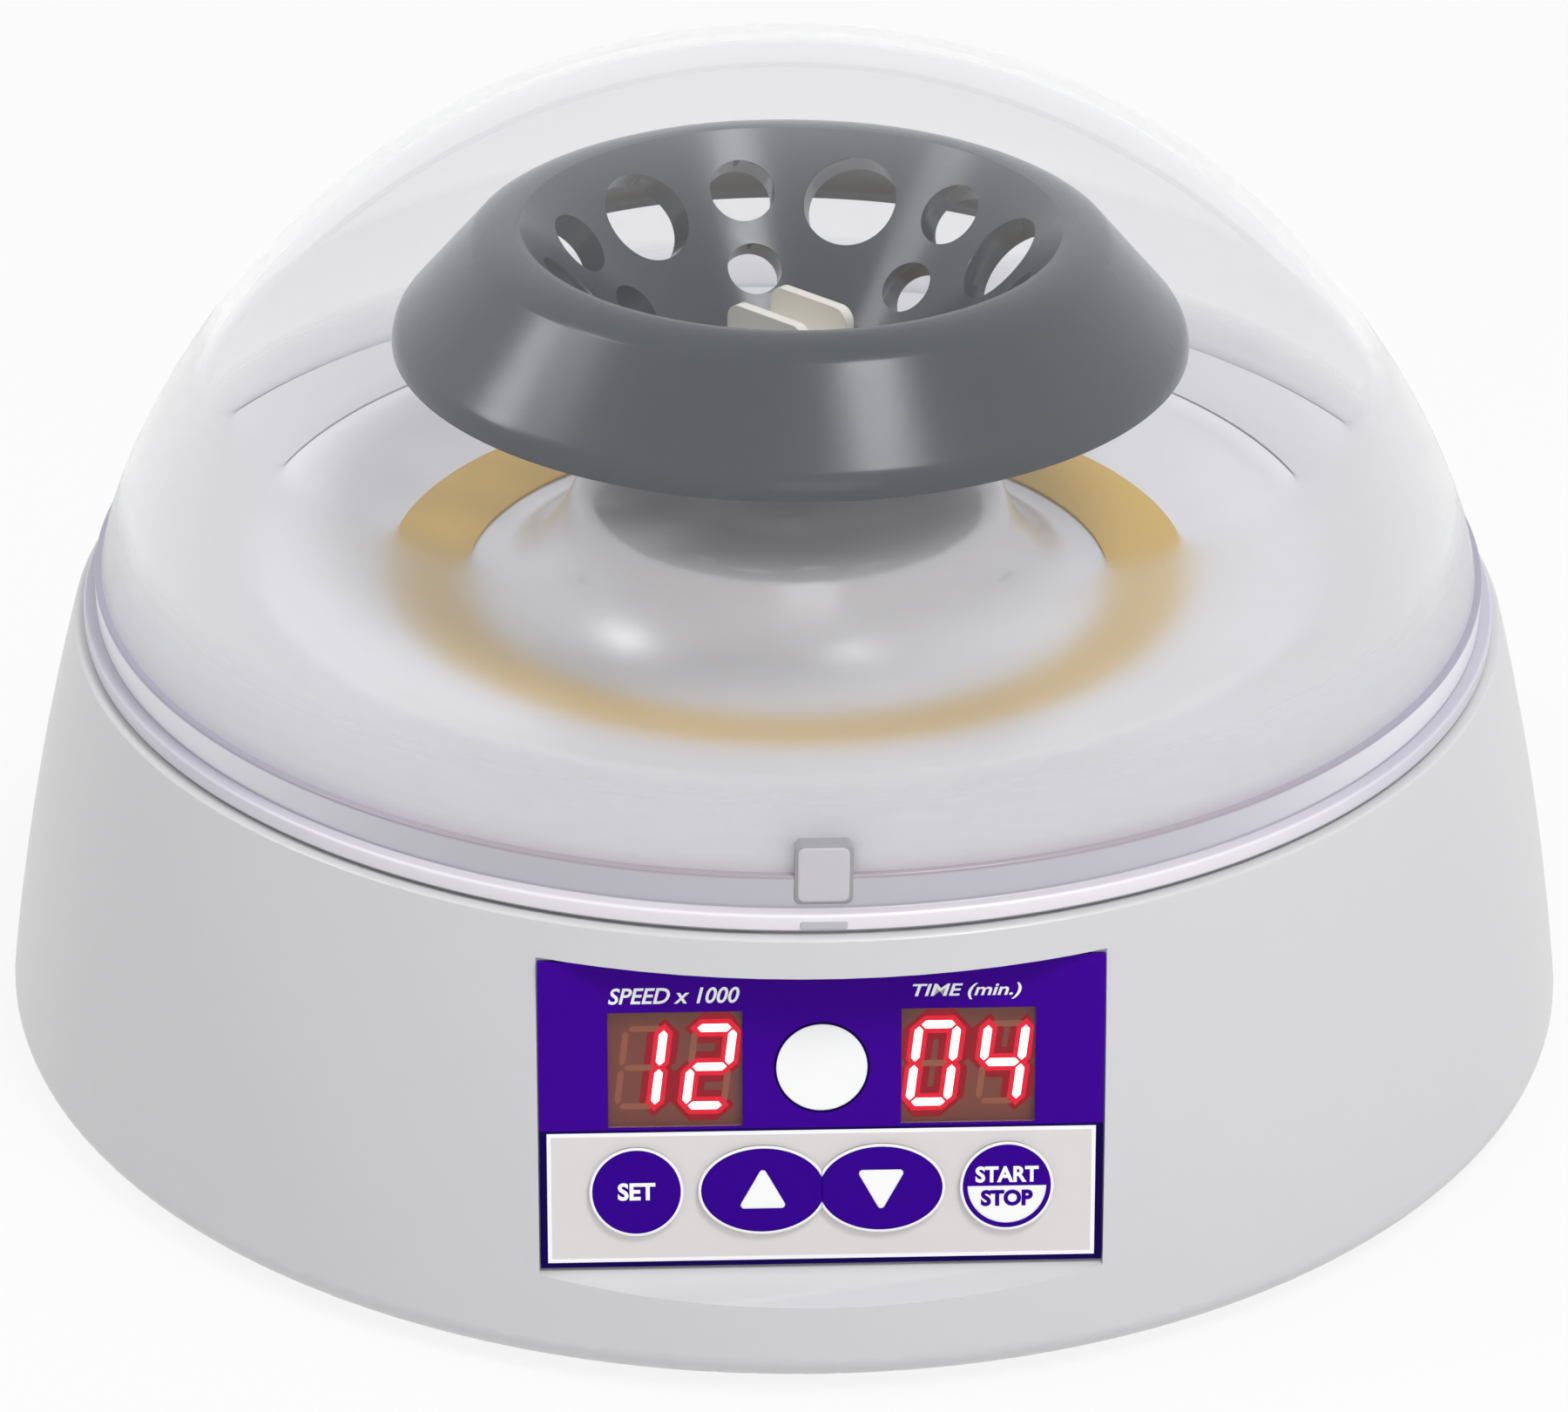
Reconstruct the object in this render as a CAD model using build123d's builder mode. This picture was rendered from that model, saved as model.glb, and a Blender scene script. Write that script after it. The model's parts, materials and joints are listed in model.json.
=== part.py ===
from build123d import *
import os
from math import atan2, cos, radians, sin, tan

# Mini centrifuge, in millimetres. +Z is up, the control panel faces -Y, and the origin lies on the
# table under the rotor's axis.

os.makedirs("parts", exist_ok=True)

# Base shell: a turned form, widest at its bottom edge
foot_stand = 1.5          # the shell's height above the table
base_r = 95.4             # radius at the bottom, before its edge is rounded
base_flare = 10.0         # how much narrower the shell is at the ledge that carries the lid
base_h = 50.4             # from the bottom edge to the ledge
side_bulge = 0.97         # how far the side bows out of a straight cone
wall = 2.5                # moulded wall
bottom_round = 3.0
ledge_round = 0.5
lip_w = 5.0               # inward lip round the bottom opening
over = 1.0                # how far a cut passes the face it opens
through = 40.0            # a cut that passes right through
same_r = 0.01             # radii or heights this near are one and the same

# Collar and deck inside the lid's rim
lid_gap = 0.5             # between the collar and the lid's wall
collar_h = 6.9            # collar top above the ledge
collar_round = 0.8
deck_rise = 1.0           # the deck climbs this much towards the chamber
deck_w = 14.9             # from the collar in to the chamber's opening

# Lid
lid_wall = 2.0
lid_seat_gap = 0.25       # shadow gap between the lid and the ledge
ledge_show = 1.2          # ledge left bare round the lid
flange_h = 2.9
flange_w = 1.5            # the flange stands out from the band
band_h = 3.5
band_w = 0.8              # the band stands out from the dome
dome_h = 58.5
dome_rise_power = 1.32    # radius = dome_r * (1 - t ** rise) ** (1 / round), t from 0 to 1
dome_round_power = 2.41
dome_angles = (0, 6, 18, 36, 54, 70, 82, 90)
dome_tangents = (0.5, 1.0)    # pull of the curve's two ends
flange_round = 0.4
band_round = 0.3
lug_x = 17.0              # hinge lugs, from the centre line
lug_w = 6.0
lug_r = 3.4
lug_neck_out = 1.2        # the lug's web, from the hinge axis outwards
lug_neck_in = 1.0
lug_neck_h = 1.5          # above the lid's lower edge
lug_web_drop = 0.6        # the web's top, below the dome's foot
hinge_in = 0.7            # hinge axis, inside the flange's edge
hinge_drop = 4.9          # hinge axis below the ledge
hinge_recess_half = 27.5
hinge_recess_low = 1.6    # room under the lugs
hinge_recess_front = 0.4  # room in front of the lugs
hinge_screw_pitch = 12.0
hinge_head_h = 1.4
bracket_t = 1.2
bracket_round = 1.0
ear_t = 2.5
ear_gap = 0.35
ear_r = 3.2
pin_r = 1.5
pin_over = 0.4            # the pin shows this much past the ears
pin_bevel = 0.3
running_fit = 0.05        # radial clearance of a shaft or pin that turns
seat_fit = 0.02           # radial clearance of a shaft or pin that is held
part_gap = 0.15           # between moulded pieces that sit in one another

# Lid catch
catch_w = 7.4
catch_h = 7.2
catch_bottom = 3.9        # above the ledge
catch_depth = 3.9         # from the lid's inner wall towards the axis
catch_run = 12.0          # passes through the collar and the lid's wall
tongue_w = 5.8
tongue_t = 2.0
tongue_reach = 5.6        # below the ledge
tongue_bevel = 0.5
well_gap = 0.45
well_wall = 1.5
striker_w = 4.6
striker_h = 4.0
striker_rise = 0.8        # above the tongue's end
striker_t = 0.6
striker_low = 0.8         # above the tongue's end
magnet_w = 8.0
magnet_h = 6.0
magnet_t = 3.0
magnet_round = 0.5
sensor_w = 4.0
sensor_h = 5.0
sensor_t = 1.6
sensor_leg_pitch = 1.27
sensor_leg_w = 0.5
sensor_leg_t = 0.4
sensor_leg_h = 4.5
sensor_leg_drop = 3.5     # leg ends, below the tongue's end

# Chamber bowl: a dish that rises outwards, with a hill under the rotor
bowl_wall = 2.0
bowl_slant = 1.25         # upright drop for one wall on the slopes
bowl_lip_slope = 0.6
bowl_lip_drop = 0.2       # the bowl's lip stays under the deck's edge
dish_low_r = 36.5
dish_low = 5.6            # lowest point, below the deck's edge
ring_in_r = 38.5
ring_out_r = 48.0
ring_in_drop = 5.5        # ring's inner edge, below the deck's edge
ring_out_drop = 4.1
ring_t = 0.3
dish_mid_drop = 2.45      # halfway from the ring to the lip
hill_r = 13.0
hill_h = 13.2             # hill top above the dish's lowest point
hill_mid_r = 27.0
hill_mid_h = 8.0
shaft_hole_r = 5.0
bowl_flange_w = 4.5
bowl_flange_t = 2.0
bowl_flange_gap = 0.4
bowl_screws_n = 6
bowl_screw_in = 0.2       # inwards from the middle of the flange
bowl_screw_turn = 15.0
bowl_screw_bite = 1.5
boss_short = 5.0          # the damper bosses end this much under the hill's top

# Rotor
crest_r = 31.4            # inner edge of the rotor's rim
crest_up = 47.1            # crest above the ledge
shoulder_r = 37.2
shoulder_drop = 1.6
skirt_r = 46.6
skirt_drop = 13.9         # skirt's edge below the crest
skirt_turn_in = 1.2       # the skirt's lower part turns upright
skirt_turn_up = 3.0
skirt_turn_bow = 0.25
crest_bow = 0.2
crest_round = 0.5
apex_drop = 3.6           # hollow between the bowl and the skirt, under the crest
cone_angle = 46.5         # bowl wall, from level
cone_t = 3.5
skirt_t = 2.0
bowl_floor_r = 14.5
floor_t = 3.0
hub_r = 9.0
hub_drop = 25.4           # hub's foot below the crest
tube_rows = [             # radius of the row, hole radius, first azimuth from +Y towards +X
    (25.2, 5.70, 19.1),
    (26.0, 3.95, -10.5),
    (19.0, 3.30, -10.5),
]
tubes_per_row = 6

# Drive
shaft_r = 2.5
drive_flange_r = 8.0
drive_flange_t = 3.6
spigot_r = 4.5
spigot_h = 5.0
spigot_gap = 0.2          # above the spigot and round the knob's stem
hub_bevel = 0.4
shaft_bite = 1.0          # the shaft's end inside the spigot
shaft_sink = 6.0          # the shaft's foot inside the motor
shaft_bevel = 0.3
knob_r = 8.2
knob_h = 3.0              # round body under the cheeks
cheek_l = 12.0            # two upright cheeks, gripped by the fingers
cheek_t = 1.4
cheek_h = 4.6
cheek_apart = 7.4         # between the cheeks' middles
cheek_round = 1.8
knob_turn = -45.0         # the cheeks' direction, from +X
knob_taper = 3.0
knob_round = 0.8
knob_stem_r = 2.0
knob_stem_reach = 5.5
knob_gap = 0.1
motor_r = 18.5
motor_drop = 4.9          # motor's front below the ledge
motor_room = 4.0          # between the motor's cap and the bottom cover
motor_boss_r = 6.5
motor_boss_h = 2.5
motor_cap_r = 8.0
motor_cap_h = 3.0
motor_round = 1.2
motor_groove_up = 6.0
motor_groove_d = 0.6
motor_groove_w = 1.6
terminal_pitch = 24.0
terminal_w = 4.0
terminal_t = 0.8
terminal_l = 4.0
motor_screw_bite = 4.0
motor_hole_d = 4.5
plate_r = 30.5
plate_t = 2.0
plate_slot_in = 2.0       # slots' circle, inside that of the dampers
plate_slot_arc = 24.0
plate_slot_turn = 60.0    # from each damper
plate_slot_w = 6.0
damper_r = 5.5
damper_h = 5.0
damper_ring_r = 25.0      # circle of the three dampers
damper_angles = (90.0, 210.0, 330.0)
damper_round = 0.8
damper_screw_bite = 5.0
damper_hole_d = 5.5
mount_boss_r = 4.0
motor_screw_ring_r = 12.5
motor_screw_angles = (0.0, 180.0)
screw_r = 1.5
screw_head_r = 2.8
screw_head_h = 2.2
head_gap = 0.3
small_screw_r = 1.05      # screws of the two boards
small_head_r = 1.96
small_head_h = 1.6
small_screw_bite = 4.0
small_hole_d = 4.5

# Control panel: a flat facet cut into the shell
panel_in = 10.15          # the plate's face at panel_z, inside base_r
panel_z = 28.5
panel_tilt = 11.15        # leans back from upright
panel_w = 61.7
panel_low = -16.03        # bottom edge, along the slope from panel_z
brow_h = 4.1              # wall left between the recess and the ledge
recess_drop = 3.2         # fall of the lower ledge per 12 mm outwards
recess_run = 12.0
recess_over = 6.0         # the recess's outline passes the shell by this much
panel_t = 0.8
panel_top_gap = 0.3
window_w = 14.6
window_h = 13.2
window_t = 0.8
speed_x = -15.9
time_x = 15.9
window_y = 6.9
module_w = 15.0
module_h = 14.0
module_gap = 0.3          # behind the window
disc_r = 4.95
disc_t = 0.4
key_y = -7.0
key_r = 4.85
set_x = -20.2
start_x = 20.2
arrow_x = 6.45
arrow_rx = 6.75
arrow_ry = 4.85
arrow_split = 0.2         # gap between the two arrow keys
key_proud = 0.5
key_travel = 0.4
key_gap = 0.2
key_flange = 0.8
key_flange_t = 0.9
key_round = 0.25
key_back_gap = 0.1        # flange behind the housing's wall
switch_gap = 0.45
switch_w = 6.0
switch_body_h = 3.4
switch_button_r = 1.7
board_depth = 9.6         # board's front face behind the plate's face
board_t = 1.6
board_w = 58.0
board_h = 28.0
board_hole_in = 1.5       # its screws, from its short edges
board_hole_down = 2.5     # and from its long edges
board_boss_r = 2.6
board_round = 1.5
chip_w = 12.0
chip_t = 2.2
plug_w = 16.0
plug_h = 4.0
plug_y = -9.5

# Bottom cover, feet and long screws
cover_t = 2.5
head_low_h = 1.3
head_sink = 0.1
housing_screw_l = 12.0
post_hole_d = 14.0
cover_gap = 0.3
post_in = 20.9            # posts' circle, inside base_r
post_r = 4.2
post_angles = [-30.0, 30.0, 150.0, 210.0]
foot_r = 7.5
foot_in = 25.4            # feet's circle, inside base_r
foot_seat = 1.0
foot_bevel = 0.5
foot_angles = {"front_left": 232.0, "front_right": 308.0, "rear_left": 128.0, "rear_right": 52.0}
vent_x = 44.0
vent_w = 3.0
vent_l = 26.0
vent_pitch = 7.0
vent_n = 5

# Rear recess with the power inlet and the power switch
rear_in = 10.9            # the recess's back wall, inside base_r
rear_low = 8.0
rear_high = 27.0
rear_w = 62.0
rear_round = 3.0
inlet_x = -17.0
rear_mid_z = 17.5
inlet_r = 4.8
inlet_flange_r = 7.0
inlet_flange_t = 1.6
inlet_round = 0.5
inlet_bore_r = 2.75
inlet_pin_r = 1.0
inlet_depth = 13.0
inlet_bore_depth = 9.0
nut_across = 12.5
nut_t = 2.5
switch_x = 13.0
rocker_l = 16.0
rocker_w = 10.4
rocker_tilt = 9.0
rocker_face = 2.6         # middle of the face, from the pivot
rocker_back = 3.0
rocker_pin_r = 1.0
rocker_pin_l = 0.6        # into the frame's side walls
rocker_socket_l = 0.8
rocker_pivot = 3.5        # pivot behind the frame's face
rocker_gap = 0.35
frame_l = 21.0
frame_w = 15.0
frame_t = 1.8
frame_wall = 1.0
frame_depth = 12.0
frame_round = 1.0
blade_pitch = 8.0
blade_w = 4.0
blade_t = 0.8
blade_l = 5.0
power_board_l = 56.0
power_board_w = 30.0
power_board_y = 44.0
power_board_lift = 5.0
power_post_in = 4.0       # posts, in from the board's edges
power_screw_short = 0.5
can_xs = (-12.0, 0.0)     # two round capacitors
can_r = 5.0
can_h = 12.0
coil_x = 13.0
coil_w = 10.0
coil_l = 16.0
block_xs = (-12.0, 2.0)   # two sockets along the board's rear edge
block_y = 10.5
block_w = 8.0
block_l = 5.0
block_h = 7.0

# Places worked out from the sizes above
base_top_r = base_r - base_flare
flange_r = base_top_r - ledge_show
band_r = flange_r - flange_w
dome_r = band_r - band_w
hinge_y = flange_r - hinge_in
panel_y = base_r - panel_in
rear_y = base_r - rear_in
post_ring_r = base_r - post_in
foot_ring_r = base_r - foot_in
board_boss_x = board_w / 2 - board_hole_in
board_boss_y = board_h / 2 - board_hole_down
shell_z = foot_stand
ledge_z = shell_z + base_h
crest_z = ledge_z + crest_up
skirt_z = crest_z - skirt_drop
hub_z = crest_z - hub_drop
motor_front_z = ledge_z - motor_drop
recess_top = ledge_z - brow_h
collar_r = dome_r - lid_wall - lid_gap
chamber_r = collar_r - deck_w
collar_z = ledge_z + collar_h
deck_z = collar_z + deck_rise
lid_z = ledge_z + lid_seat_gap
dome_z = ledge_z + flange_h + band_h
hinge_z = ledge_z - hinge_drop
hinge_floor_z = hinge_z - lug_r - hinge_recess_low
hinge_front_y = hinge_y - lug_r - hinge_recess_front
well_floor_z = ledge_z - tongue_reach - well_gap
well_back_y = -(dome_r - lid_wall - catch_depth - well_gap)
well_front_y = -(dome_r - lid_wall - catch_depth + tongue_t + well_gap)
catch_in_y = -(dome_r - lid_wall - catch_depth)
flange_top_z = deck_z - wall - bowl_flange_gap
bowl_screw_ring_r = chamber_r + bowl_flange_w / 2 - bowl_screw_in
cover_z = shell_z + cover_t
motor_h = motor_front_z - motor_cap_h - motor_room - cover_z
bowl_floor_z = crest_z - (crest_r - bowl_floor_r) * tan(radians(cone_angle))
cone_t_level = cone_t / sin(radians(cone_angle))
plate_z = motor_front_z
shaft_foot_z = motor_front_z - shaft_sink
damper_z = plate_z + plate_t
boss_z = damper_z + damper_h
dish_z = deck_z - dish_low
drive_z = hub_z - drive_flange_t


def side_r(z):
    """Outer radius of the base shell at height z: a straight cone with a shallow bow."""
    t = (z - shell_z) / base_h
    return base_r + (base_top_r - base_r) * t + 4 * side_bulge * t * (1 - t)


def dome_points(r, z, h):
    """Points up a dome's profile, from its foot to its top on the axis."""
    heights = [sin(radians(a)) for a in dome_angles]
    return [
        (r * (1 - t**dome_rise_power) ** (1 / dome_round_power), z + h * t)
        for t in heights
    ]


def polar(r, azimuth):
    """A place on a circle, with the azimuth counted from +X."""
    return r * cos(radians(azimuth)), r * sin(radians(azimuth))


# The panel's own plane: x to the right, y up the slope, z out of the face
panel_plane = Plane(
    origin=(0, -panel_y, panel_z),
    x_dir=(1, 0, 0),
    z_dir=(0, -cos(radians(panel_tilt)), sin(radians(panel_tilt))),
)


def panel_point(up, out):
    """The y and z of a point on the panel's middle line, up the slope and out of the face."""
    place = panel_plane.from_local_coords((0, up, out))
    return place.Y, place.Z


def panel_up(z, out=0.0):
    """Distance up the slope of the point at height z."""
    return (z - panel_z - out * sin(radians(panel_tilt))) / cos(radians(panel_tilt))


def save(part, name):
    """Labels a finished piece and writes its STEP file."""
    part.label = name
    export_step(part, f"parts/{name}.step")


# Upper housing: outside form
recess_outer_y = -(base_r + recess_over)


def recess_profile(depth, grow):
    """Side view of the front recess, grown by a wall when it keeps the cavity away."""
    low_y, low_z = panel_point(panel_low - grow, -depth - grow)
    high_z = recess_top + grow
    high_y = panel_point(panel_up(high_z, -depth - grow), -depth - grow)[0]
    fall = recess_drop / recess_run * (low_y - recess_outer_y)
    return [
        (low_y, low_z),
        (recess_outer_y, low_z - fall),
        (recess_outer_y, high_z),
        (high_y, high_z),
    ]


with BuildPart() as cavity:
    with BuildSketch(Plane.XZ):
        with BuildLine():
            Line((0, shell_z), (base_r - wall, shell_z))
            ThreePointArc(
                (base_r - wall, shell_z),
                (side_r(shell_z + base_h / 2) - wall, shell_z + base_h / 2),
                (base_top_r - wall, ledge_z),
            )
            Line((base_top_r - wall, ledge_z), (0, ledge_z))
            Line((0, ledge_z), (0, shell_z))
        make_face()
    revolve(axis=Axis.Z)
    with BuildSketch(Plane.XY.offset(ledge_z - wall)):
        Circle(base_r)
        Circle(collar_r - wall, mode=Mode.SUBTRACT)
    extrude(amount=wall, mode=Mode.SUBTRACT)
    with BuildSketch(Plane.XZ):
        Polygon(
            (0, ledge_z),
            (collar_r - wall, ledge_z),
            (collar_r - wall, collar_z - wall),
            (chamber_r, deck_z - wall),
            (0, deck_z - wall),
            align=None,
        )
    revolve(axis=Axis.Z)
    with BuildSketch(Plane.XY.offset(shell_z)):
        Circle(base_r)
        Circle(base_r - bottom_round - lip_w, mode=Mode.SUBTRACT)
    extrude(amount=cover_t, mode=Mode.SUBTRACT)
    with BuildSketch(Plane.YZ):
        Polygon(*recess_profile(panel_t, wall), align=None)
    extrude(amount=panel_w / 2 + wall, both=True, mode=Mode.SUBTRACT)
    # the walls of the hinge recess and of the rear recess
    with BuildSketch(Plane.XY.offset(hinge_floor_z - wall)):
        with Locations((0, hinge_front_y - wall)):
            Rectangle(2 * (hinge_recess_half + wall), through, align=(Align.CENTER, Align.MIN))
    extrude(amount=through, mode=Mode.SUBTRACT)
    with BuildSketch(Plane.XZ.offset(-(rear_y - wall))):
        with Locations((0, (rear_low + rear_high) / 2)):
            Rectangle(rear_w + 2 * wall, rear_high - rear_low + 2 * wall)
    extrude(amount=-through, mode=Mode.SUBTRACT)
    # the wall round the catch's well
    with BuildSketch(Plane.XY.offset(well_floor_z - well_wall)):
        with Locations((0, well_back_y + well_wall)):
            Rectangle(
                catch_w + 2 * (well_gap + well_wall),
                catch_run,
                align=(Align.CENTER, Align.MAX),
            )
    extrude(amount=through, mode=Mode.SUBTRACT)
    # posts for the long screws
    with BuildSketch(Plane.XY.offset(cover_z)):
        with Locations(*[polar(post_ring_r, a) for a in post_angles]):
            Circle(post_r)
    extrude(amount=deck_z, mode=Mode.SUBTRACT)
    # posts for the control board
    with BuildSketch(panel_plane.offset(-board_depth)):
        with GridLocations(2 * board_boss_x, 2 * board_boss_y, 2, 2):
            Circle(board_boss_r)
    extrude(amount=board_depth, mode=Mode.SUBTRACT)

with BuildPart() as upper_housing:
    with BuildSketch(Plane.XZ):
        with BuildLine():
            Line((0, shell_z), (base_r, shell_z))
            ThreePointArc(
                (base_r, shell_z),
                (side_r(shell_z + base_h / 2), shell_z + base_h / 2),
                (base_top_r, ledge_z),
            )
            Polyline(
                (base_top_r, ledge_z),
                (collar_r, ledge_z),
                (collar_r, collar_z),
                (chamber_r, deck_z),
                (0, deck_z),
                (0, shell_z),
            )
        make_face()
    revolve(axis=Axis.Z)
    rims = upper_housing.edges().filter_by(GeomType.CIRCLE)
    fillet(rims.filter_by(lambda e: abs(e.radius - base_r) < same_r), radius=bottom_round)
    rims = upper_housing.edges().filter_by(GeomType.CIRCLE)
    fillet(rims.filter_by(lambda e: abs(e.radius - base_top_r) < same_r), radius=ledge_round)
    rims = upper_housing.edges().filter_by(GeomType.CIRCLE).filter_by_position(
        Axis.Z, collar_z - same_r, collar_z + same_r
    )
    fillet(rims.filter_by(lambda e: abs(e.radius - collar_r) < same_r), radius=collar_round)
    # the flat facet for the control panel
    with BuildSketch(Plane.YZ):
        Polygon(*recess_profile(panel_t, 0), align=None)
    extrude(amount=panel_w / 2, both=True, mode=Mode.SUBTRACT)
    # the hinge recess
    with BuildSketch(Plane.XY.offset(hinge_floor_z)):
        with Locations((0, hinge_front_y)):
            Rectangle(2 * hinge_recess_half, through, align=(Align.CENTER, Align.MIN))
    extrude(amount=through, mode=Mode.SUBTRACT)
    # the rear recess
    with BuildSketch(Plane.XZ.offset(-rear_y)):
        with Locations((0, (rear_low + rear_high) / 2)):
            RectangleRounded(rear_w, rear_high - rear_low, rear_round)
    extrude(amount=-through, mode=Mode.SUBTRACT)
    add(cavity.part, mode=Mode.SUBTRACT)
    # the chamber opening
    with BuildSketch(Plane.XY.offset(deck_z)):
        Circle(chamber_r)
    extrude(amount=2 * wall, both=True, mode=Mode.SUBTRACT)
    # blind holes for the screws of the bowl and of the hinge bracket
    with BuildSketch(Plane.XY.offset(flange_top_z)):
        with PolarLocations(bowl_screw_ring_r, bowl_screws_n, start_angle=bowl_screw_turn):
            Circle(screw_r + seat_fit)
    extrude(amount=bowl_screw_bite + seat_fit, mode=Mode.SUBTRACT)
    with BuildSketch(Plane.XY.offset(hinge_floor_z)):
        with Locations((0, hinge_y)):
            with GridLocations(hinge_screw_pitch, 0, 2, 1):
                Circle(screw_r + seat_fit)
    extrude(amount=-wall, mode=Mode.SUBTRACT)
    # the well of the lid catch, open through the collar
    with BuildSketch(Plane.XY.offset(well_floor_z)):
        with Locations((0, (well_back_y + well_front_y) / 2)):
            Rectangle(tongue_w + 2 * well_gap, well_back_y - well_front_y)
    extrude(amount=through, mode=Mode.SUBTRACT)
    with BuildSketch(Plane.XY.offset(ledge_z + catch_bottom - well_gap)):
        with Locations((0, well_back_y)):
            Rectangle(catch_w + 2 * well_gap, catch_run, align=(Align.CENTER, Align.MAX))
    extrude(amount=through, mode=Mode.SUBTRACT)
    # openings in the facet for the displays and the keys
    with BuildSketch(panel_plane):
        with Locations((speed_x, window_y), (time_x, window_y)):
            Rectangle(module_w + 2 * part_gap, module_h + 2 * part_gap)
        with Locations((set_x, key_y), (start_x, key_y)):
            Circle(key_r + key_gap)
        with Locations((-arrow_x, key_y), (arrow_x, key_y)):
            Ellipse(arrow_rx + key_gap, arrow_ry + key_gap)
    extrude(amount=-(panel_t + wall + over), mode=Mode.SUBTRACT)
    # screw holes up the posts and in the board's posts
    with BuildSketch(Plane.XY.offset(cover_z)):
        with Locations(*[polar(post_ring_r, a) for a in post_angles]):
            Circle(screw_r + seat_fit)
    extrude(amount=post_hole_d, mode=Mode.SUBTRACT)
    with BuildSketch(panel_plane.offset(-board_depth)):
        with GridLocations(2 * board_boss_x, 2 * board_boss_y, 2, 2):
            Circle(small_screw_r + seat_fit)
    extrude(amount=small_hole_d, mode=Mode.SUBTRACT)
    # rear openings for the inlet and the switch
    with BuildSketch(Plane.XZ.offset(-(rear_y - wall - over))):
        with Locations((inlet_x, rear_mid_z)):
            Circle(inlet_r + part_gap)
        with Locations((switch_x, rear_mid_z)):
            Rectangle(
                rocker_l + 2 * (rocker_gap + frame_wall + part_gap),
                rocker_w + 2 * (rocker_gap + frame_wall + part_gap),
            )
    extrude(amount=-(wall + 2 * over), mode=Mode.SUBTRACT)

save(upper_housing.part, "upper_housing")

# Lid: clear dome with a flange, a band and two hinge lugs
with BuildPart() as lid_space:
    with BuildSketch(Plane.XZ):
        with BuildLine():
            Polyline(
                (0, lid_z - over),
                (dome_r - lid_wall, lid_z - over),
                (dome_r - lid_wall, dome_z),
            )
            Spline(
                *dome_points(dome_r - lid_wall, dome_z, dome_h - lid_wall),
                tangents=((0, 1), (-1, 0)),
                tangent_scalars=dome_tangents,
            )
            Line((0, dome_z + dome_h - lid_wall), (0, lid_z - over))
        make_face()
    revolve(axis=Axis.Z)

with BuildPart() as lid:
    with BuildSketch(Plane.XZ):
        with BuildLine():
            Polyline(
                (0, lid_z),
                (flange_r, lid_z),
                (flange_r, ledge_z + flange_h),
                (band_r, ledge_z + flange_h),
                (band_r, dome_z),
                (dome_r, dome_z),
            )
            Spline(
                *dome_points(dome_r, dome_z, dome_h),
                tangents=((0, 1), (-1, 0)),
                tangent_scalars=dome_tangents,
            )
            Line((0, dome_z + dome_h), (0, lid_z))
        make_face()
    revolve(axis=Axis.Z)
    rims = lid.edges().filter_by(GeomType.CIRCLE)
    fillet(rims.filter_by(lambda e: abs(e.radius - flange_r) < same_r), radius=flange_round)
    rims = lid.edges().filter_by(GeomType.CIRCLE)
    band_rim = rims.filter_by(lambda e: abs(e.radius - band_r) < same_r).sort_by(Axis.Z)[-1]
    fillet(band_rim, radius=band_round)
    lug_sides = [Plane.YZ.offset(x - lug_w / 2) for x in (-lug_x, lug_x)]
    with BuildSketch(*lug_sides):
        with Locations((hinge_y, hinge_z)):
            Circle(lug_r)
        Polygon(
            (hinge_y - lug_r, hinge_z),
            (hinge_y + lug_r, hinge_z),
            (hinge_y + lug_neck_out, lid_z + lug_neck_h),
            (hinge_y - lug_neck_in, dome_z - lug_web_drop),
            (hinge_y - lug_r, dome_z - lug_web_drop),
            align=None,
        )
    extrude(amount=lug_w)
    add(lid_space.part, mode=Mode.SUBTRACT)
    with BuildSketch(*lug_sides):
        with Locations((hinge_y, hinge_z)):
            Circle(pin_r + running_fit)
    extrude(amount=lug_w, mode=Mode.SUBTRACT)

save(lid.part, "lid")

# Catch: a block behind the lid's wall, with a tongue that drops into the housing's well
with BuildPart() as latch_tongue:
    with BuildSketch(Plane.XY.offset(ledge_z + catch_bottom)):
        with Locations((0, catch_in_y)):
            Rectangle(catch_w, catch_run, align=(Align.CENTER, Align.MAX))
    extrude(amount=catch_h)
    add(lid_space.part, mode=Mode.INTERSECT)
    with BuildSketch(Plane.XY.offset(ledge_z - tongue_reach)):
        with Locations((0, catch_in_y)):
            Rectangle(tongue_w, tongue_t, align=(Align.CENTER, Align.MAX))
    extrude(amount=tongue_reach + catch_bottom + over)
    chamfer(latch_tongue.faces().sort_by(Axis.Z)[0].edges(), length=tongue_bevel)
    # the striker's seat in the tongue's inner face
    with BuildSketch(Plane.XZ.offset(-catch_in_y)):
        with Locations((0, ledge_z - tongue_reach + striker_h / 2 + striker_rise)):
            Rectangle(striker_w + 2 * seat_fit, striker_h + 2 * seat_fit)
    extrude(amount=striker_t, mode=Mode.SUBTRACT)

with BuildPart() as latch_striker:
    with BuildSketch(Plane.XZ.offset(-catch_in_y)):
        with Locations((0, ledge_z - tongue_reach + striker_h / 2 + striker_rise)):
            Rectangle(striker_w, striker_h)
    extrude(amount=striker_t)

with BuildPart() as latch_magnet:
    with BuildSketch(Plane.XZ.offset(-(well_back_y + well_wall))):
        with Locations((0, ledge_z - tongue_reach + magnet_h / 2)):
            RectangleRounded(magnet_w, magnet_h, magnet_round)
    extrude(amount=-magnet_t)

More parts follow.
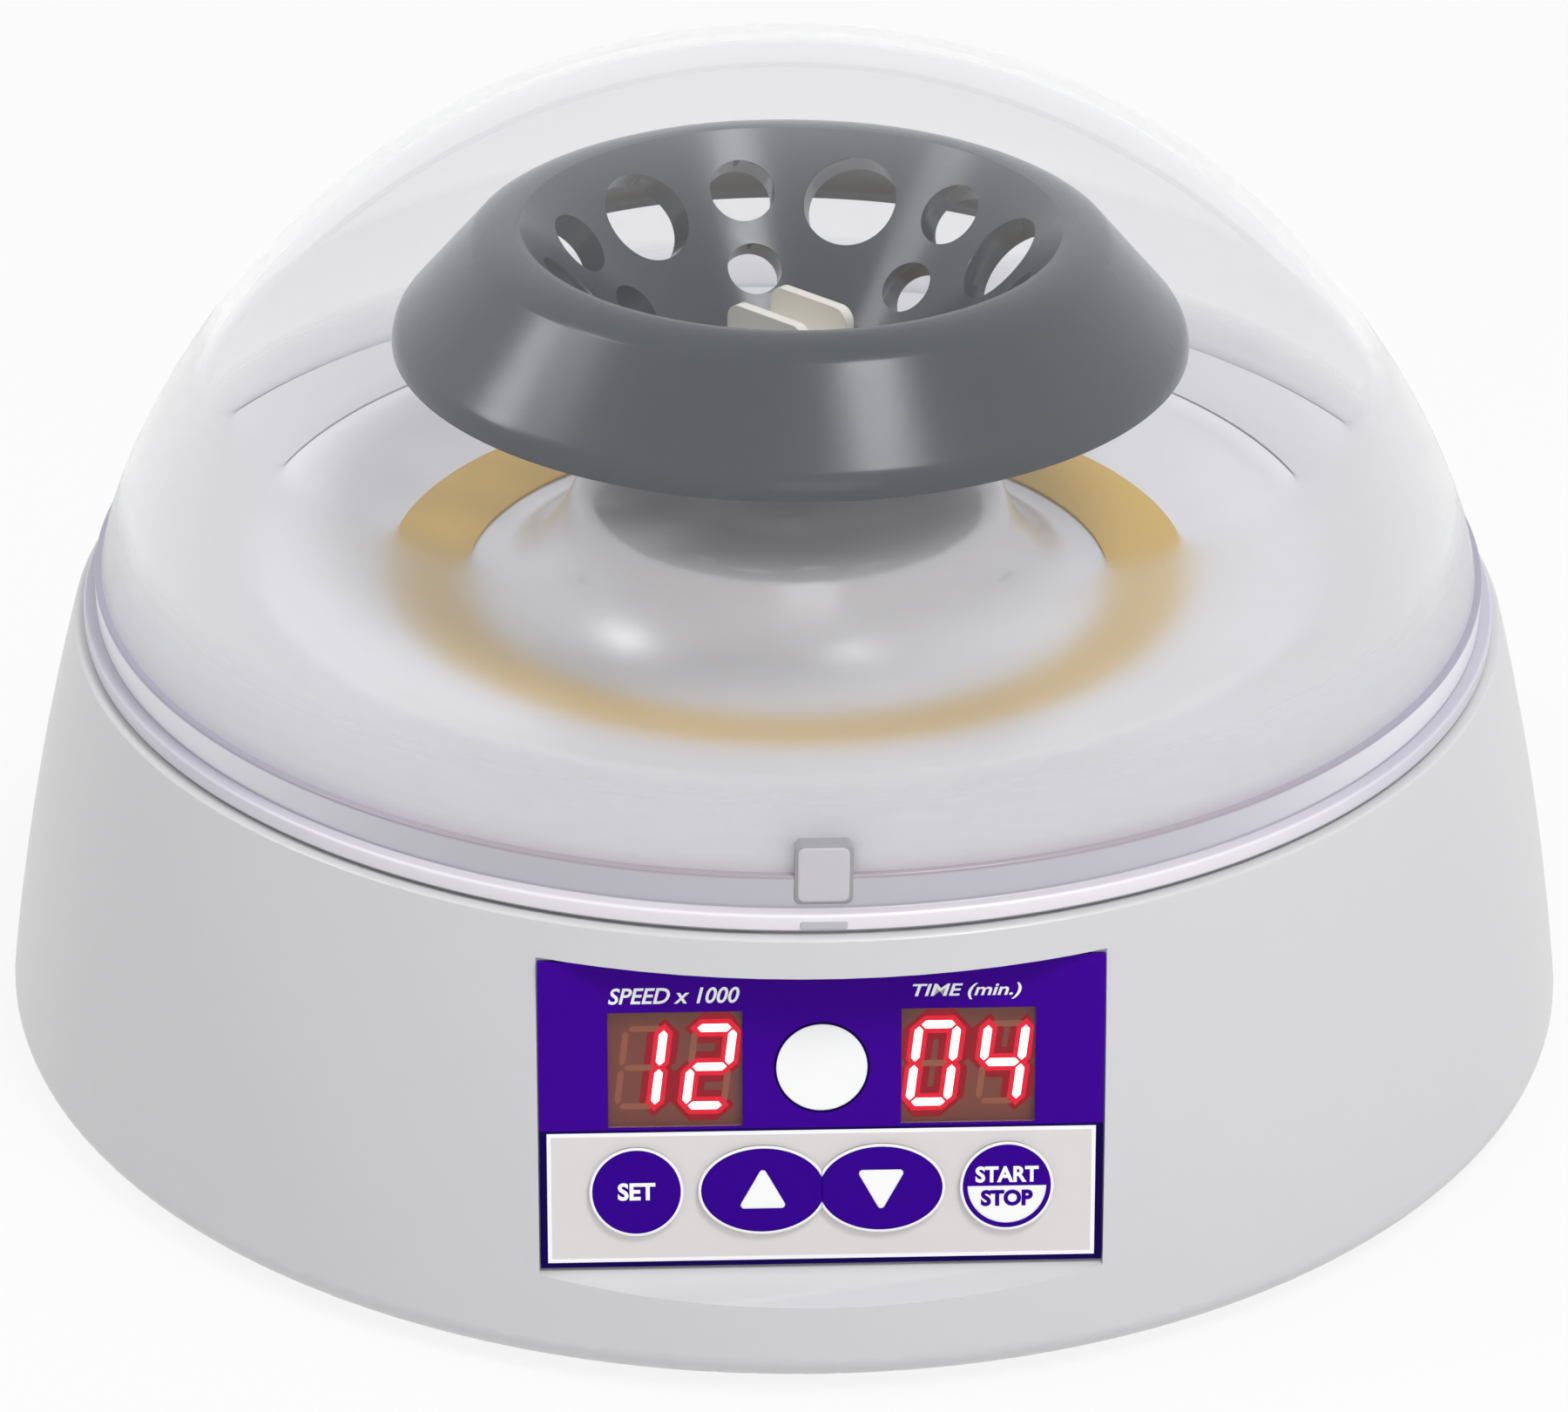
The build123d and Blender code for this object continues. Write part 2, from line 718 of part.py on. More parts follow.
with BuildPart() as lid_sensor:
    with BuildSketch(Plane.XZ.offset(-(well_back_y + well_wall + magnet_t))):
        with Locations((0, ledge_z - tongue_reach + magnet_h / 2)):
            Rectangle(sensor_w, sensor_h)
    extrude(amount=-sensor_t)
    with BuildSketch(Plane.XY.offset(ledge_z - tongue_reach - sensor_leg_drop)):
        with Locations((0, well_back_y + well_wall + magnet_t + sensor_t / 2)):
            with GridLocations(sensor_leg_pitch, 0, 3, 1):
                Rectangle(sensor_leg_w, sensor_leg_t)
    extrude(amount=sensor_leg_h)

save(latch_tongue.part, "latch_tongue")
save(latch_striker.part, "latch_striker")
save(latch_magnet.part, "latch_magnet")
save(lid_sensor.part, "lid_sensor")

# Hinge bracket in the housing's rear recess, and its pin
ear_places = [
    side * (lug_x + out * (lug_w / 2 + ear_gap + ear_t / 2)) - ear_t / 2
    for side in (-1, 1)
    for out in (-1, 1)
]
bracket_half = lug_x + lug_w / 2 + ear_gap + ear_t
with BuildPart() as hinge_bracket:
    with BuildSketch(Plane.XY.offset(hinge_floor_z)):
        with Locations((0, hinge_y)):
            RectangleRounded(2 * bracket_half, 2 * ear_r, bracket_round)
            with GridLocations(hinge_screw_pitch, 0, 2, 1):
                Circle(screw_r + running_fit, mode=Mode.SUBTRACT)
    extrude(amount=bracket_t)
    with BuildSketch(*[Plane.YZ.offset(x) for x in ear_places]):
        with Locations((hinge_y, hinge_z)):
            Circle(ear_r)
        with Locations((hinge_y, hinge_floor_z)):
            Rectangle(2 * ear_r, hinge_z - hinge_floor_z, align=(Align.CENTER, Align.MIN))
        with Locations((hinge_y, hinge_z)):
            Circle(pin_r + seat_fit, mode=Mode.SUBTRACT)
    extrude(amount=ear_t)

with BuildPart() as hinge_pin:
    with BuildSketch(Plane.YZ.offset(-bracket_half - pin_over)):
        with Locations((hinge_y, hinge_z)):
            Circle(pin_r)
    extrude(amount=2 * (bracket_half + pin_over))
    chamfer(hinge_pin.edges().filter_by(GeomType.CIRCLE), length=pin_bevel)

with BuildPart() as hinge_screws:
    with BuildSketch(Plane.XY.offset(hinge_floor_z + bracket_t)):
        with Locations((0, hinge_y)):
            with GridLocations(hinge_screw_pitch, 0, 2, 1):
                Circle(screw_head_r)
    extrude(amount=hinge_head_h)
    with BuildSketch(Plane.XY.offset(hinge_floor_z + bracket_t)):
        with Locations((0, hinge_y)):
            with GridLocations(hinge_screw_pitch, 0, 2, 1):
                Circle(screw_r)
    extrude(amount=-(bracket_t + wall))

save(hinge_bracket.part, "hinge_bracket")
save(hinge_pin.part, "hinge_pin")
save(hinge_screws.part, "hinge_screws")

# Chamber bowl: the dish under the rotor, with the hill that covers the motor
ring_out_z = deck_z - ring_out_drop
ring_in_z = deck_z - ring_in_drop
bowl_lip_z = deck_z - bowl_lip_drop
bowl_lip_r = chamber_r - part_gap
dish_mid_r = (ring_out_r + bowl_lip_r - bowl_wall) / 2
hill_z = dish_z + hill_h
bowl_drop = bowl_wall * bowl_slant
damper_places = [polar(damper_ring_r, a) for a in damper_angles]


def bowl_skin(drop):
    """The dish and hill from the lip to the shaft hole, lowered by drop."""
    slope = (ring_in_r - ring_out_r, ring_in_z - ring_out_z)
    Spline(
        (bowl_lip_r - bowl_wall, bowl_lip_z - drop),
        (dish_mid_r, deck_z - dish_mid_drop - drop),
        (ring_out_r, ring_out_z - drop),
        tangents=((-1, -bowl_lip_slope), slope),
    )
    Line((ring_out_r, ring_out_z - drop), (ring_in_r, ring_in_z - drop))
    Spline(
        (ring_in_r, ring_in_z - drop),
        (dish_low_r, dish_z - drop),
        (hill_mid_r, dish_z + hill_mid_h - drop),
        (hill_r, hill_z - drop),
        tangents=(slope, (-1, 0)),
    )
    Line((hill_r, hill_z - drop), (shaft_hole_r, hill_z - drop))


with BuildPart() as chamber_bowl:
    with BuildSketch(Plane.XZ):
        with BuildLine():
            bowl_skin(0)
            bowl_skin(bowl_drop)
            Line((shaft_hole_r, hill_z), (shaft_hole_r, hill_z - bowl_drop))
            Polyline(
                (bowl_lip_r - bowl_wall, bowl_lip_z),
                (bowl_lip_r, bowl_lip_z),
                (bowl_lip_r, bowl_lip_z - bowl_drop),
                (bowl_lip_r - bowl_wall, bowl_lip_z - bowl_drop),
            )
        make_face()
    revolve(axis=Axis.Z)
    with BuildSketch(Plane.XY.offset(flange_top_z - bowl_flange_t)):
        Circle(chamber_r + bowl_flange_w)
        Circle(dish_mid_r + over, mode=Mode.SUBTRACT)
    extrude(amount=bowl_flange_t)
    # three bosses under the hill carry the motor's dampers
    with BuildSketch(Plane.XY.offset(boss_z)):
        with Locations(*damper_places):
            Circle(mount_boss_r)
    extrude(amount=hill_z - bowl_drop - boss_z - boss_short)
    with BuildSketch(Plane.XY.offset(boss_z)):
        with Locations(*damper_places):
            Circle(screw_r + seat_fit)
    extrude(amount=damper_hole_d, mode=Mode.SUBTRACT)
    with BuildSketch(Plane.XY.offset(flange_top_z - bowl_flange_t)):
        with PolarLocations(bowl_screw_ring_r, bowl_screws_n, start_angle=bowl_screw_turn):
            Circle(screw_r + running_fit)
    extrude(amount=bowl_flange_t, mode=Mode.SUBTRACT)

with BuildPart() as chamber_ring:
    with BuildSketch(Plane.XZ):
        Polygon(
            (ring_in_r, ring_in_z),
            (ring_out_r, ring_out_z),
            (ring_out_r, ring_out_z + ring_t),
            (ring_in_r, ring_in_z + ring_t),
            align=None,
        )
    revolve(axis=Axis.Z)

with BuildPart() as bowl_screws:
    with BuildSketch(Plane.XY.offset(flange_top_z - bowl_flange_t)):
        with PolarLocations(bowl_screw_ring_r, bowl_screws_n, start_angle=bowl_screw_turn):
            Circle(screw_head_r)
    extrude(amount=-screw_head_h)
    with BuildSketch(Plane.XY.offset(flange_top_z - bowl_flange_t)):
        with PolarLocations(bowl_screw_ring_r, bowl_screws_n, start_angle=bowl_screw_turn):
            Circle(screw_r)
    extrude(amount=bowl_flange_t + bowl_screw_bite)

save(chamber_bowl.part, "chamber_bowl")
save(chamber_ring.part, "chamber_ring")
save(bowl_screws.part, "bowl_screws")

# Rotor: a cone-shaped bowl and a flared skirt in one moulding, with three rows of tube holes
shoulder_z = crest_z - shoulder_drop
turn_r = skirt_r - skirt_turn_in
turn_z = skirt_z + skirt_turn_up
skirt_slope = atan2(shoulder_z - turn_z, turn_r - shoulder_r)
skirt_in = (skirt_t * sin(skirt_slope), skirt_t * cos(skirt_slope))
under_r = bowl_floor_r + cone_t_level - floor_t / tan(radians(cone_angle))
apex_z = crest_z - apex_drop
cone_apex_r = crest_r + cone_t_level - (crest_z - apex_z) / tan(radians(cone_angle))
skirt_apex_r = shoulder_r - skirt_in[0] + (shoulder_z - skirt_in[1] - apex_z) / tan(skirt_slope)


def tube_plane(r, azimuth):
    """A plane square to the rotor's bowl at a tube hole; azimuth from +Y towards +X."""
    out_x = sin(radians(azimuth))
    out_y = cos(radians(azimuth))
    lean = radians(cone_angle)
    return Plane(
        origin=(r * out_x, r * out_y, crest_z - (crest_r - r) * tan(lean)),
        z_dir=(-sin(lean) * out_x, -sin(lean) * out_y, cos(lean)),
    )


with BuildPart() as rotor:
    with BuildSketch(Plane.XZ):
        with BuildLine():
            ThreePointArc(
                (crest_r, crest_z),
                ((crest_r + shoulder_r) / 2 + crest_bow, crest_z - crest_bow),
                (shoulder_r, shoulder_z),
            )
            Line((shoulder_r, shoulder_z), (turn_r, turn_z))
            ThreePointArc(
                (turn_r, turn_z),
                (skirt_r - skirt_turn_bow, skirt_z + skirt_turn_up / 2),
                (skirt_r, skirt_z),
            )
            Polyline(
                (skirt_r, skirt_z),
                (skirt_r - skirt_t, skirt_z),
                (turn_r - skirt_in[0], turn_z - skirt_in[1]),
                (skirt_apex_r, apex_z),
                (cone_apex_r, apex_z),
                (under_r, bowl_floor_z - floor_t),
                (hub_r, bowl_floor_z - floor_t),
                (hub_r, hub_z),
                (spigot_r + running_fit, hub_z),
                (spigot_r + running_fit, hub_z + spigot_h + spigot_gap),
                (knob_stem_r + spigot_gap, hub_z + spigot_h + spigot_gap),
                (knob_stem_r + spigot_gap, bowl_floor_z),
                (bowl_floor_r, bowl_floor_z),
                (crest_r, crest_z),
            )
        make_face()
    revolve(axis=Axis.Z)
    rims = rotor.edges().filter_by(GeomType.CIRCLE).filter_by_position(
        Axis.Z, crest_z - same_r, crest_z + same_r
    )
    fillet(rims, radius=crest_round)
    for row_r, tube_r, start in tube_rows:
        turns = [start + 360 / tubes_per_row * i for i in range(tubes_per_row)]
        with BuildSketch(*[tube_plane(row_r, turn) for turn in turns]):
            Circle(tube_r)
        extrude(amount=cone_t + 2 * over, both=True, mode=Mode.SUBTRACT)

save(rotor.part, "rotor")

# Knob: a round body with two upright cheeks, on a stem that screws into the drive hub
knob_z = bowl_floor_z + knob_gap
with BuildPart() as rotor_knob:
    with BuildSketch(Plane.XY.offset(knob_z)):
        Circle(knob_r)
    extrude(amount=knob_h, taper=knob_taper)
    fillet(rotor_knob.edges().filter_by(GeomType.CIRCLE).sort_by(Axis.Z)[-1], radius=knob_round)
    with BuildSketch(Plane.XY.offset(knob_z + knob_h - over)):
        with Locations(Location((0, 0, 0), (0, 0, knob_turn))):
            with GridLocations(0, cheek_apart, 1, 2):
                Rectangle(cheek_l, cheek_t)
    extrude(amount=cheek_h + over)
    cheek_ends = rotor_knob.edges().group_by(Axis.Z)[-1]
    fillet(cheek_ends.filter_by(lambda e: abs(e.length - cheek_t) < same_r), radius=cheek_round)
    with BuildSketch(Plane.XY.offset(bowl_floor_z - knob_stem_reach)):
        Circle(knob_stem_r)
    extrude(amount=knob_stem_reach + knob_gap)

# Drive hub on the motor's shaft, and the motor with its plate and dampers
with BuildPart() as drive_hub:
    with BuildSketch(Plane.XY.offset(drive_z)):
        Circle(drive_flange_r)
    extrude(amount=drive_flange_t)
    with BuildSketch(Plane.XY.offset(hub_z)):
        Circle(spigot_r)
    extrude(amount=spigot_h)
    chamfer(drive_hub.edges().filter_by(GeomType.CIRCLE).sort_by(Axis.Z)[-1], length=hub_bevel)
    with BuildSketch(Plane.XY.offset(drive_z)):
        Circle(shaft_r + seat_fit)
    extrude(amount=drive_flange_t + shaft_bite, mode=Mode.SUBTRACT)
    with BuildSketch(Plane.XY.offset(bowl_floor_z - knob_stem_reach - spigot_gap)):
        Circle(knob_stem_r + running_fit)
    extrude(amount=knob_stem_reach, mode=Mode.SUBTRACT)

with BuildPart() as motor_shaft:
    with BuildSketch(Plane.XY.offset(shaft_foot_z)):
        Circle(shaft_r)
    extrude(amount=hub_z + shaft_bite - seat_fit - shaft_foot_z)
    chamfer(motor_shaft.edges().filter_by(GeomType.CIRCLE), length=shaft_bevel)

motor_screw_places = [polar(motor_screw_ring_r, a) for a in motor_screw_angles]
with BuildPart() as motor:
    with BuildSketch(Plane.XY.offset(motor_front_z - motor_h)):
        Circle(motor_r)
    extrude(amount=motor_h)
    fillet(motor.edges().filter_by(GeomType.CIRCLE), radius=motor_round)
    with BuildSketch(Plane.XY.offset(motor_front_z)):
        Circle(motor_boss_r)
    extrude(amount=motor_boss_h)
    with BuildSketch(Plane.XY.offset(motor_front_z - motor_h)):
        Circle(motor_cap_r)
    extrude(amount=-motor_cap_h)
    # the crimped groove round the can, and the two terminals
    with BuildSketch(Plane.XZ):
        with Locations((motor_r, motor_front_z - motor_h + motor_groove_up)):
            Rectangle(2 * motor_groove_d, motor_groove_w)
    revolve(axis=Axis.Z, mode=Mode.SUBTRACT)
    with BuildSketch(Plane.XY.offset(motor_front_z - motor_h)):
        with GridLocations(terminal_pitch, 0, 2, 1):
            Rectangle(terminal_t, terminal_w)
    extrude(amount=-terminal_l)
    with BuildSketch(Plane.XY.offset(motor_front_z + motor_boss_h)):
        Circle(shaft_r + running_fit)
    extrude(amount=-(motor_boss_h + shaft_sink + spigot_gap), mode=Mode.SUBTRACT)
    with BuildSketch(Plane.XY.offset(motor_front_z)):
        with Locations(*motor_screw_places):
            Circle(screw_r + seat_fit)
    extrude(amount=-motor_hole_d, mode=Mode.SUBTRACT)

with BuildPart() as motor_plate:
    with BuildSketch(Plane.XY.offset(plate_z)):
        Circle(plate_r)
        Circle(motor_boss_r + part_gap, mode=Mode.SUBTRACT)
        with Locations(*motor_screw_places, *damper_places):
            Circle(screw_r + running_fit, mode=Mode.SUBTRACT)
        for turn in damper_angles:
            SlotArc(
                CenterArc(
                    (0, 0),
                    damper_ring_r - plate_slot_in,
                    turn - plate_slot_turn - plate_slot_arc / 2,
                    plate_slot_arc,
                ),
                plate_slot_w,
                mode=Mode.SUBTRACT,
            )
    extrude(amount=plate_t)

with BuildPart() as motor_screws:
    with BuildSketch(Plane.XY.offset(plate_z + plate_t)):
        with Locations(*motor_screw_places):
            Circle(screw_head_r)
    extrude(amount=screw_head_h)
    with BuildSketch(Plane.XY.offset(plate_z + plate_t)):
        with Locations(*motor_screw_places):
            Circle(screw_r)
    extrude(amount=-(plate_t + motor_screw_bite))

with BuildPart() as motor_dampers:
    with BuildSketch(Plane.XY.offset(damper_z)):
        with Locations(*damper_places):
            Circle(damper_r)
    extrude(amount=damper_h)
    fillet(motor_dampers.edges().filter_by(GeomType.CIRCLE), radius=damper_round)
    with BuildSketch(Plane.XY.offset(damper_z)):
        with Locations(*damper_places):
            Circle(screw_r + running_fit)
    extrude(amount=damper_h, mode=Mode.SUBTRACT)

with BuildPart() as damper_screws:
    with BuildSketch(Plane.XY.offset(plate_z)):
        with Locations(*damper_places):
            Circle(screw_head_r)
    extrude(amount=-screw_head_h)
    with BuildSketch(Plane.XY.offset(plate_z)):
        with Locations(*damper_places):
            Circle(screw_r)
    extrude(amount=plate_t + damper_h + damper_screw_bite)

save(rotor_knob.part, "rotor_knob")
save(drive_hub.part, "drive_hub")
save(motor_shaft.part, "motor_shaft")
save(motor.part, "motor")
save(motor_plate.part, "motor_plate")
save(motor_screws.part, "motor_screws")
save(motor_dampers.part, "motor_dampers")
save(damper_screws.part, "damper_screws")

# Control panel plate, with its disc, windows, displays and keys
panel_high = panel_up(recess_top) - panel_top_gap
window_places = [(speed_x, window_y), (time_x, window_y)]
with BuildPart() as control_panel:
    with BuildSketch(panel_plane):
        with Locations((0, panel_low + part_gap)):
            Rectangle(
                panel_w - 2 * part_gap,
                panel_high - panel_low - part_gap,
                align=(Align.CENTER, Align.MIN),
            )
        with Locations(*window_places):
            Rectangle(window_w, window_h, mode=Mode.SUBTRACT)
        with Locations((set_x, key_y), (start_x, key_y)):
            Circle(key_r + key_gap, mode=Mode.SUBTRACT)
        with Locations((-arrow_x, key_y), (arrow_x, key_y)):
            Ellipse(arrow_rx + key_gap, arrow_ry + key_gap, mode=Mode.SUBTRACT)
    extrude(amount=-panel_t)
    with BuildSketch(panel_plane):
        with Locations((0, window_y)):
            Circle(disc_r + seat_fit)
    extrude(amount=-disc_t, mode=Mode.SUBTRACT)

with BuildPart() as panel_disc:
    with BuildSketch(panel_plane.offset(-disc_t)):
        with Locations((0, window_y)):
            Circle(disc_r)
    extrude(amount=disc_t)

save(control_panel.part, "control_panel")
save(panel_disc.part, "panel_disc")

module_front = panel_t + module_gap
for name, place_x in (("speed", speed_x), ("time", time_x)):
    with BuildPart() as window:
        with BuildSketch(panel_plane):
            with Locations((place_x, window_y)):
                Rectangle(window_w - 2 * seat_fit, window_h - 2 * seat_fit)
        extrude(amount=-window_t)
    save(window.part, f"{name}_window")
    with BuildPart() as display:
        with BuildSketch(panel_plane.offset(-board_depth)):
            with Locations((place_x, window_y)):
                Rectangle(module_w, module_h)
        extrude(amount=board_depth - module_front)
    save(display.part, f"{name}_display")

key_back = panel_t + wall + key_back_gap
panel_out = Axis((0, 0, 0), panel_plane.z_dir)
key_shapes = {
    "set_key": (set_x, key_r, key_r),
    "up_key": (-arrow_x, arrow_rx, arrow_ry),
    "down_key": (arrow_x, arrow_rx, arrow_ry),
    "start_stop_key": (start_x, key_r, key_r),
}
for name, (place_x, half_w, half_h) in key_shapes.items():
    with BuildPart() as key:
        with BuildSketch(panel_plane.offset(key_proud)):
            with Locations((place_x, key_y)):
                Ellipse(half_w, half_h) if half_w != half_h else Circle(half_w)
        extrude(amount=-(key_proud + key_back))
        with BuildSketch(panel_plane.offset(-key_back)):
            with Locations((place_x, key_y)):
                Ellipse(half_w + key_flange, half_h + key_flange)
        extrude(amount=-key_flange_t)
        if abs(place_x) < half_w:
            side = -1 if place_x > 0 else 1
            with BuildSketch(panel_plane.offset(key_proud)):
                with Locations((side * (half_w - arrow_split / 2), key_y)):
                    Rectangle(2 * half_w, 4 * half_h)
            extrude(amount=-(key_proud + key_back + key_flange_t), mode=Mode.SUBTRACT)
        fillet(key.faces().sort_by(panel_out)[-1].edges(), radius=key_round)
    save(key.part, name)

key_places = [(x, key_y) for x in (set_x, -arrow_x, arrow_x, start_x)]
button_top = board_depth - (key_back + key_flange_t + switch_gap)
with BuildPart() as key_switches:
    with BuildSketch(panel_plane.offset(-board_depth)):
        with Locations(*key_places):
            Rectangle(switch_w, switch_w)
    extrude(amount=switch_body_h)
    with BuildSketch(panel_plane.offset(-board_depth)):
        with Locations(*key_places):
            Circle(switch_button_r)
    extrude(amount=button_top)

board_posts = [(x, y) for x in (-board_boss_x, board_boss_x) for y in (-board_boss_y, board_boss_y)]
with BuildPart() as control_board:
    with BuildSketch(panel_plane.offset(-board_depth)):
        RectangleRounded(board_w, board_h, board_round)
        with Locations(*board_posts):
            Circle(small_screw_r + running_fit, mode=Mode.SUBTRACT)
    extrude(amount=-board_t)
    with BuildSketch(panel_plane.offset(-board_depth - board_t)):
        Rectangle(chip_w, chip_w)
        with Locations((0, plug_y)):
            Rectangle(plug_w, plug_h)
    extrude(amount=-chip_t)

with BuildPart() as board_screws:
    with BuildSketch(panel_plane.offset(-board_depth - board_t)):
        with Locations(*board_posts):
            Circle(small_head_r)
    extrude(amount=-small_head_h)
    with BuildSketch(panel_plane.offset(-board_depth - board_t)):
        with Locations(*board_posts):
            Circle(small_screw_r)
    extrude(amount=board_t + small_screw_bite)

save(key_switches.part, "key_switches")
save(control_board.part, "control_board")
save(board_screws.part, "board_screws")

# Bottom cover, feet and the long screws into the housing's posts
cover_r = base_r - bottom_round - lip_w - cover_gap
post_places = [polar(post_ring_r, a) for a in post_angles]
foot_places = {name: polar(foot_ring_r, a) for name, a in foot_angles.items()}
board_post_x = power_board_l / 2 - power_post_in
board_post_y = power_board_w / 2 - power_post_in
with BuildPart() as bottom_cover:
    with BuildSketch(Plane.XY.offset(shell_z)):
        Circle(cover_r)
        with Locations((-vent_x, 0), (vent_x, 0)):
            with GridLocations(0, vent_pitch, 1, vent_n):
                SlotOverall(vent_l, vent_w, mode=Mode.SUBTRACT)
        with Locations(*post_places):
            Circle(screw_r + running_fit, mode=Mode.SUBTRACT)
    extrude(amount=cover_t)
    with BuildSketch(Plane.XY.offset(shell_z)):
        with Locations(*post_places):
            Circle(screw_head_r + head_gap)
    extrude(amount=head_low_h + head_sink, mode=Mode.SUBTRACT)
    with BuildSketch(Plane.XY.offset(shell_z)):
        with Locations(*foot_places.values()):
            Circle(foot_r + seat_fit)
    extrude(amount=foot_seat, mode=Mode.SUBTRACT)
    with BuildSketch(Plane.XY.offset(cover_z)):
        with Locations((0, power_board_y)):
            with GridLocations(2 * board_post_x, 2 * board_post_y, 2, 2):
                Circle(board_boss_r)
                Circle(small_screw_r + seat_fit, mode=Mode.SUBTRACT)
    extrude(amount=power_board_lift)

save(bottom_cover.part, "bottom_cover")

for name, place in foot_places.items():
    with BuildPart() as foot:
        with BuildSketch(Plane.XY.offset(shell_z + foot_seat)):
            with Locations(place):
                Circle(foot_r)
        extrude(amount=-(foot_stand + foot_seat))
        chamfer(foot.edges().filter_by(GeomType.CIRCLE).sort_by(Axis.Z)[0], length=foot_bevel)
    save(foot.part, f"foot_{name}")

with BuildPart() as housing_screws:
    with BuildSketch(Plane.XY.offset(shell_z + head_low_h + head_sink)):
        with Locations(*post_places):
            Circle(screw_head_r)
    extrude(amount=-head_low_h)
    with BuildSketch(Plane.XY.offset(shell_z + head_low_h + head_sink)):
        with Locations(*post_places):
            Circle(screw_r)
    extrude(amount=housing_screw_l)

save(housing_screws.part, "housing_screws")

# Power board on the cover's posts
with BuildPart() as power_board:
    with BuildSketch(Plane.XY.offset(cover_z + power_board_lift)):
        with Locations((0, power_board_y)):
            RectangleRounded(power_board_l, power_board_w, board_round)
            with GridLocations(2 * board_post_x, 2 * board_post_y, 2, 2):
                Circle(small_screw_r + running_fit, mode=Mode.SUBTRACT)
    extrude(amount=board_t)
    with BuildSketch(Plane.XY.offset(cover_z + power_board_lift + board_t)):
        with Locations(*[(x, power_board_y) for x in can_xs]):
            Circle(can_r)
    extrude(amount=can_h)
    with BuildSketch(Plane.XY.offset(cover_z + power_board_lift + board_t)):
        with Locations((coil_x, power_board_y)):
            Rectangle(coil_w, coil_l)
        with Locations(*[(x, power_board_y + block_y) for x in block_xs]):
            Rectangle(block_w, block_l)
    extrude(amount=block_h)

with BuildPart() as power_board_screws:
    with BuildSketch(Plane.XY.offset(cover_z + power_board_lift + board_t)):
        with Locations((0, power_board_y)):
            with GridLocations(2 * board_post_x, 2 * board_post_y, 2, 2):
                Circle(small_head_r)
    extrude(amount=small_head_h)
    with BuildSketch(Plane.XY.offset(cover_z + power_board_lift + board_t)):
        with Locations((0, power_board_y)):
            with GridLocations(2 * board_post_x, 2 * board_post_y, 2, 2):
                Circle(small_screw_r)
    extrude(amount=-(board_t + power_board_lift - power_screw_short))

save(power_board.part, "power_board")
save(power_board_screws.part, "power_board_screws")

# Power inlet: a round socket with its pin, held by a ring nut
rear_face = Plane.XZ.offset(-rear_y)
with BuildPart() as power_inlet:
    with BuildSketch(rear_face):
        with Locations((inlet_x, rear_mid_z)):
            Circle(inlet_flange_r)
    extrude(amount=-inlet_flange_t)
    fillet(power_inlet.edges().filter_by(GeomType.CIRCLE).sort_by(Axis.Y)[-1], radius=inlet_round)
    with BuildSketch(rear_face):
        with Locations((inlet_x, rear_mid_z)):
            Circle(inlet_r)
    extrude(amount=inlet_depth)
    with BuildSketch(rear_face.offset(-inlet_flange_t)):
        with Locations((inlet_x, rear_mid_z)):
            Circle(inlet_bore_r)
            Circle(inlet_pin_r, mode=Mode.SUBTRACT)
    extrude(amount=inlet_bore_depth, mode=Mode.SUBTRACT)

with BuildPart() as inlet_nut:
    with BuildSketch(rear_face.offset(wall)):
        with Locations((inlet_x, rear_mid_z)):
            RegularPolygon(nut_across / 2, 6, major_radius=False)
            Circle(inlet_r + seat_fit, mode=Mode.SUBTRACT)
    extrude(amount=nut_t)

# Power switch: a frame that snaps into the rear wall, and its rocker
hollow_l = rocker_l + 2 * rocker_gap
hollow_w = rocker_w + 2 * rocker_gap
pivot_y = rear_y + frame_t - rocker_pivot
with BuildPart() as switch_frame:
    with BuildSketch(rear_face):
        with Locations((switch_x, rear_mid_z)):
            RectangleRounded(frame_l, frame_w, frame_round)
    extrude(amount=-frame_t)
    with BuildSketch(rear_face):
        with Locations((switch_x, rear_mid_z)):
            Rectangle(hollow_l + 2 * frame_wall, hollow_w + 2 * frame_wall)
    extrude(amount=frame_depth)
    with BuildSketch(rear_face.offset(-frame_t)):
        with Locations((switch_x, rear_mid_z)):
            Rectangle(hollow_l, hollow_w)
    extrude(amount=frame_t + frame_depth - frame_wall, mode=Mode.SUBTRACT)
    with BuildSketch(Plane.XY.offset(rear_mid_z - hollow_w / 2 - rocker_socket_l)):
        with Locations((switch_x, pivot_y)):
            Circle(rocker_pin_r + running_fit)
    extrude(amount=hollow_w + 2 * rocker_socket_l, mode=Mode.SUBTRACT)
    # the terminals
    with BuildSketch(rear_face.offset(frame_depth)):
        with Locations((switch_x, rear_mid_z)):
            with GridLocations(blade_pitch, 0, 2, 1):
                Rectangle(blade_t, blade_w)
    extrude(amount=blade_l)

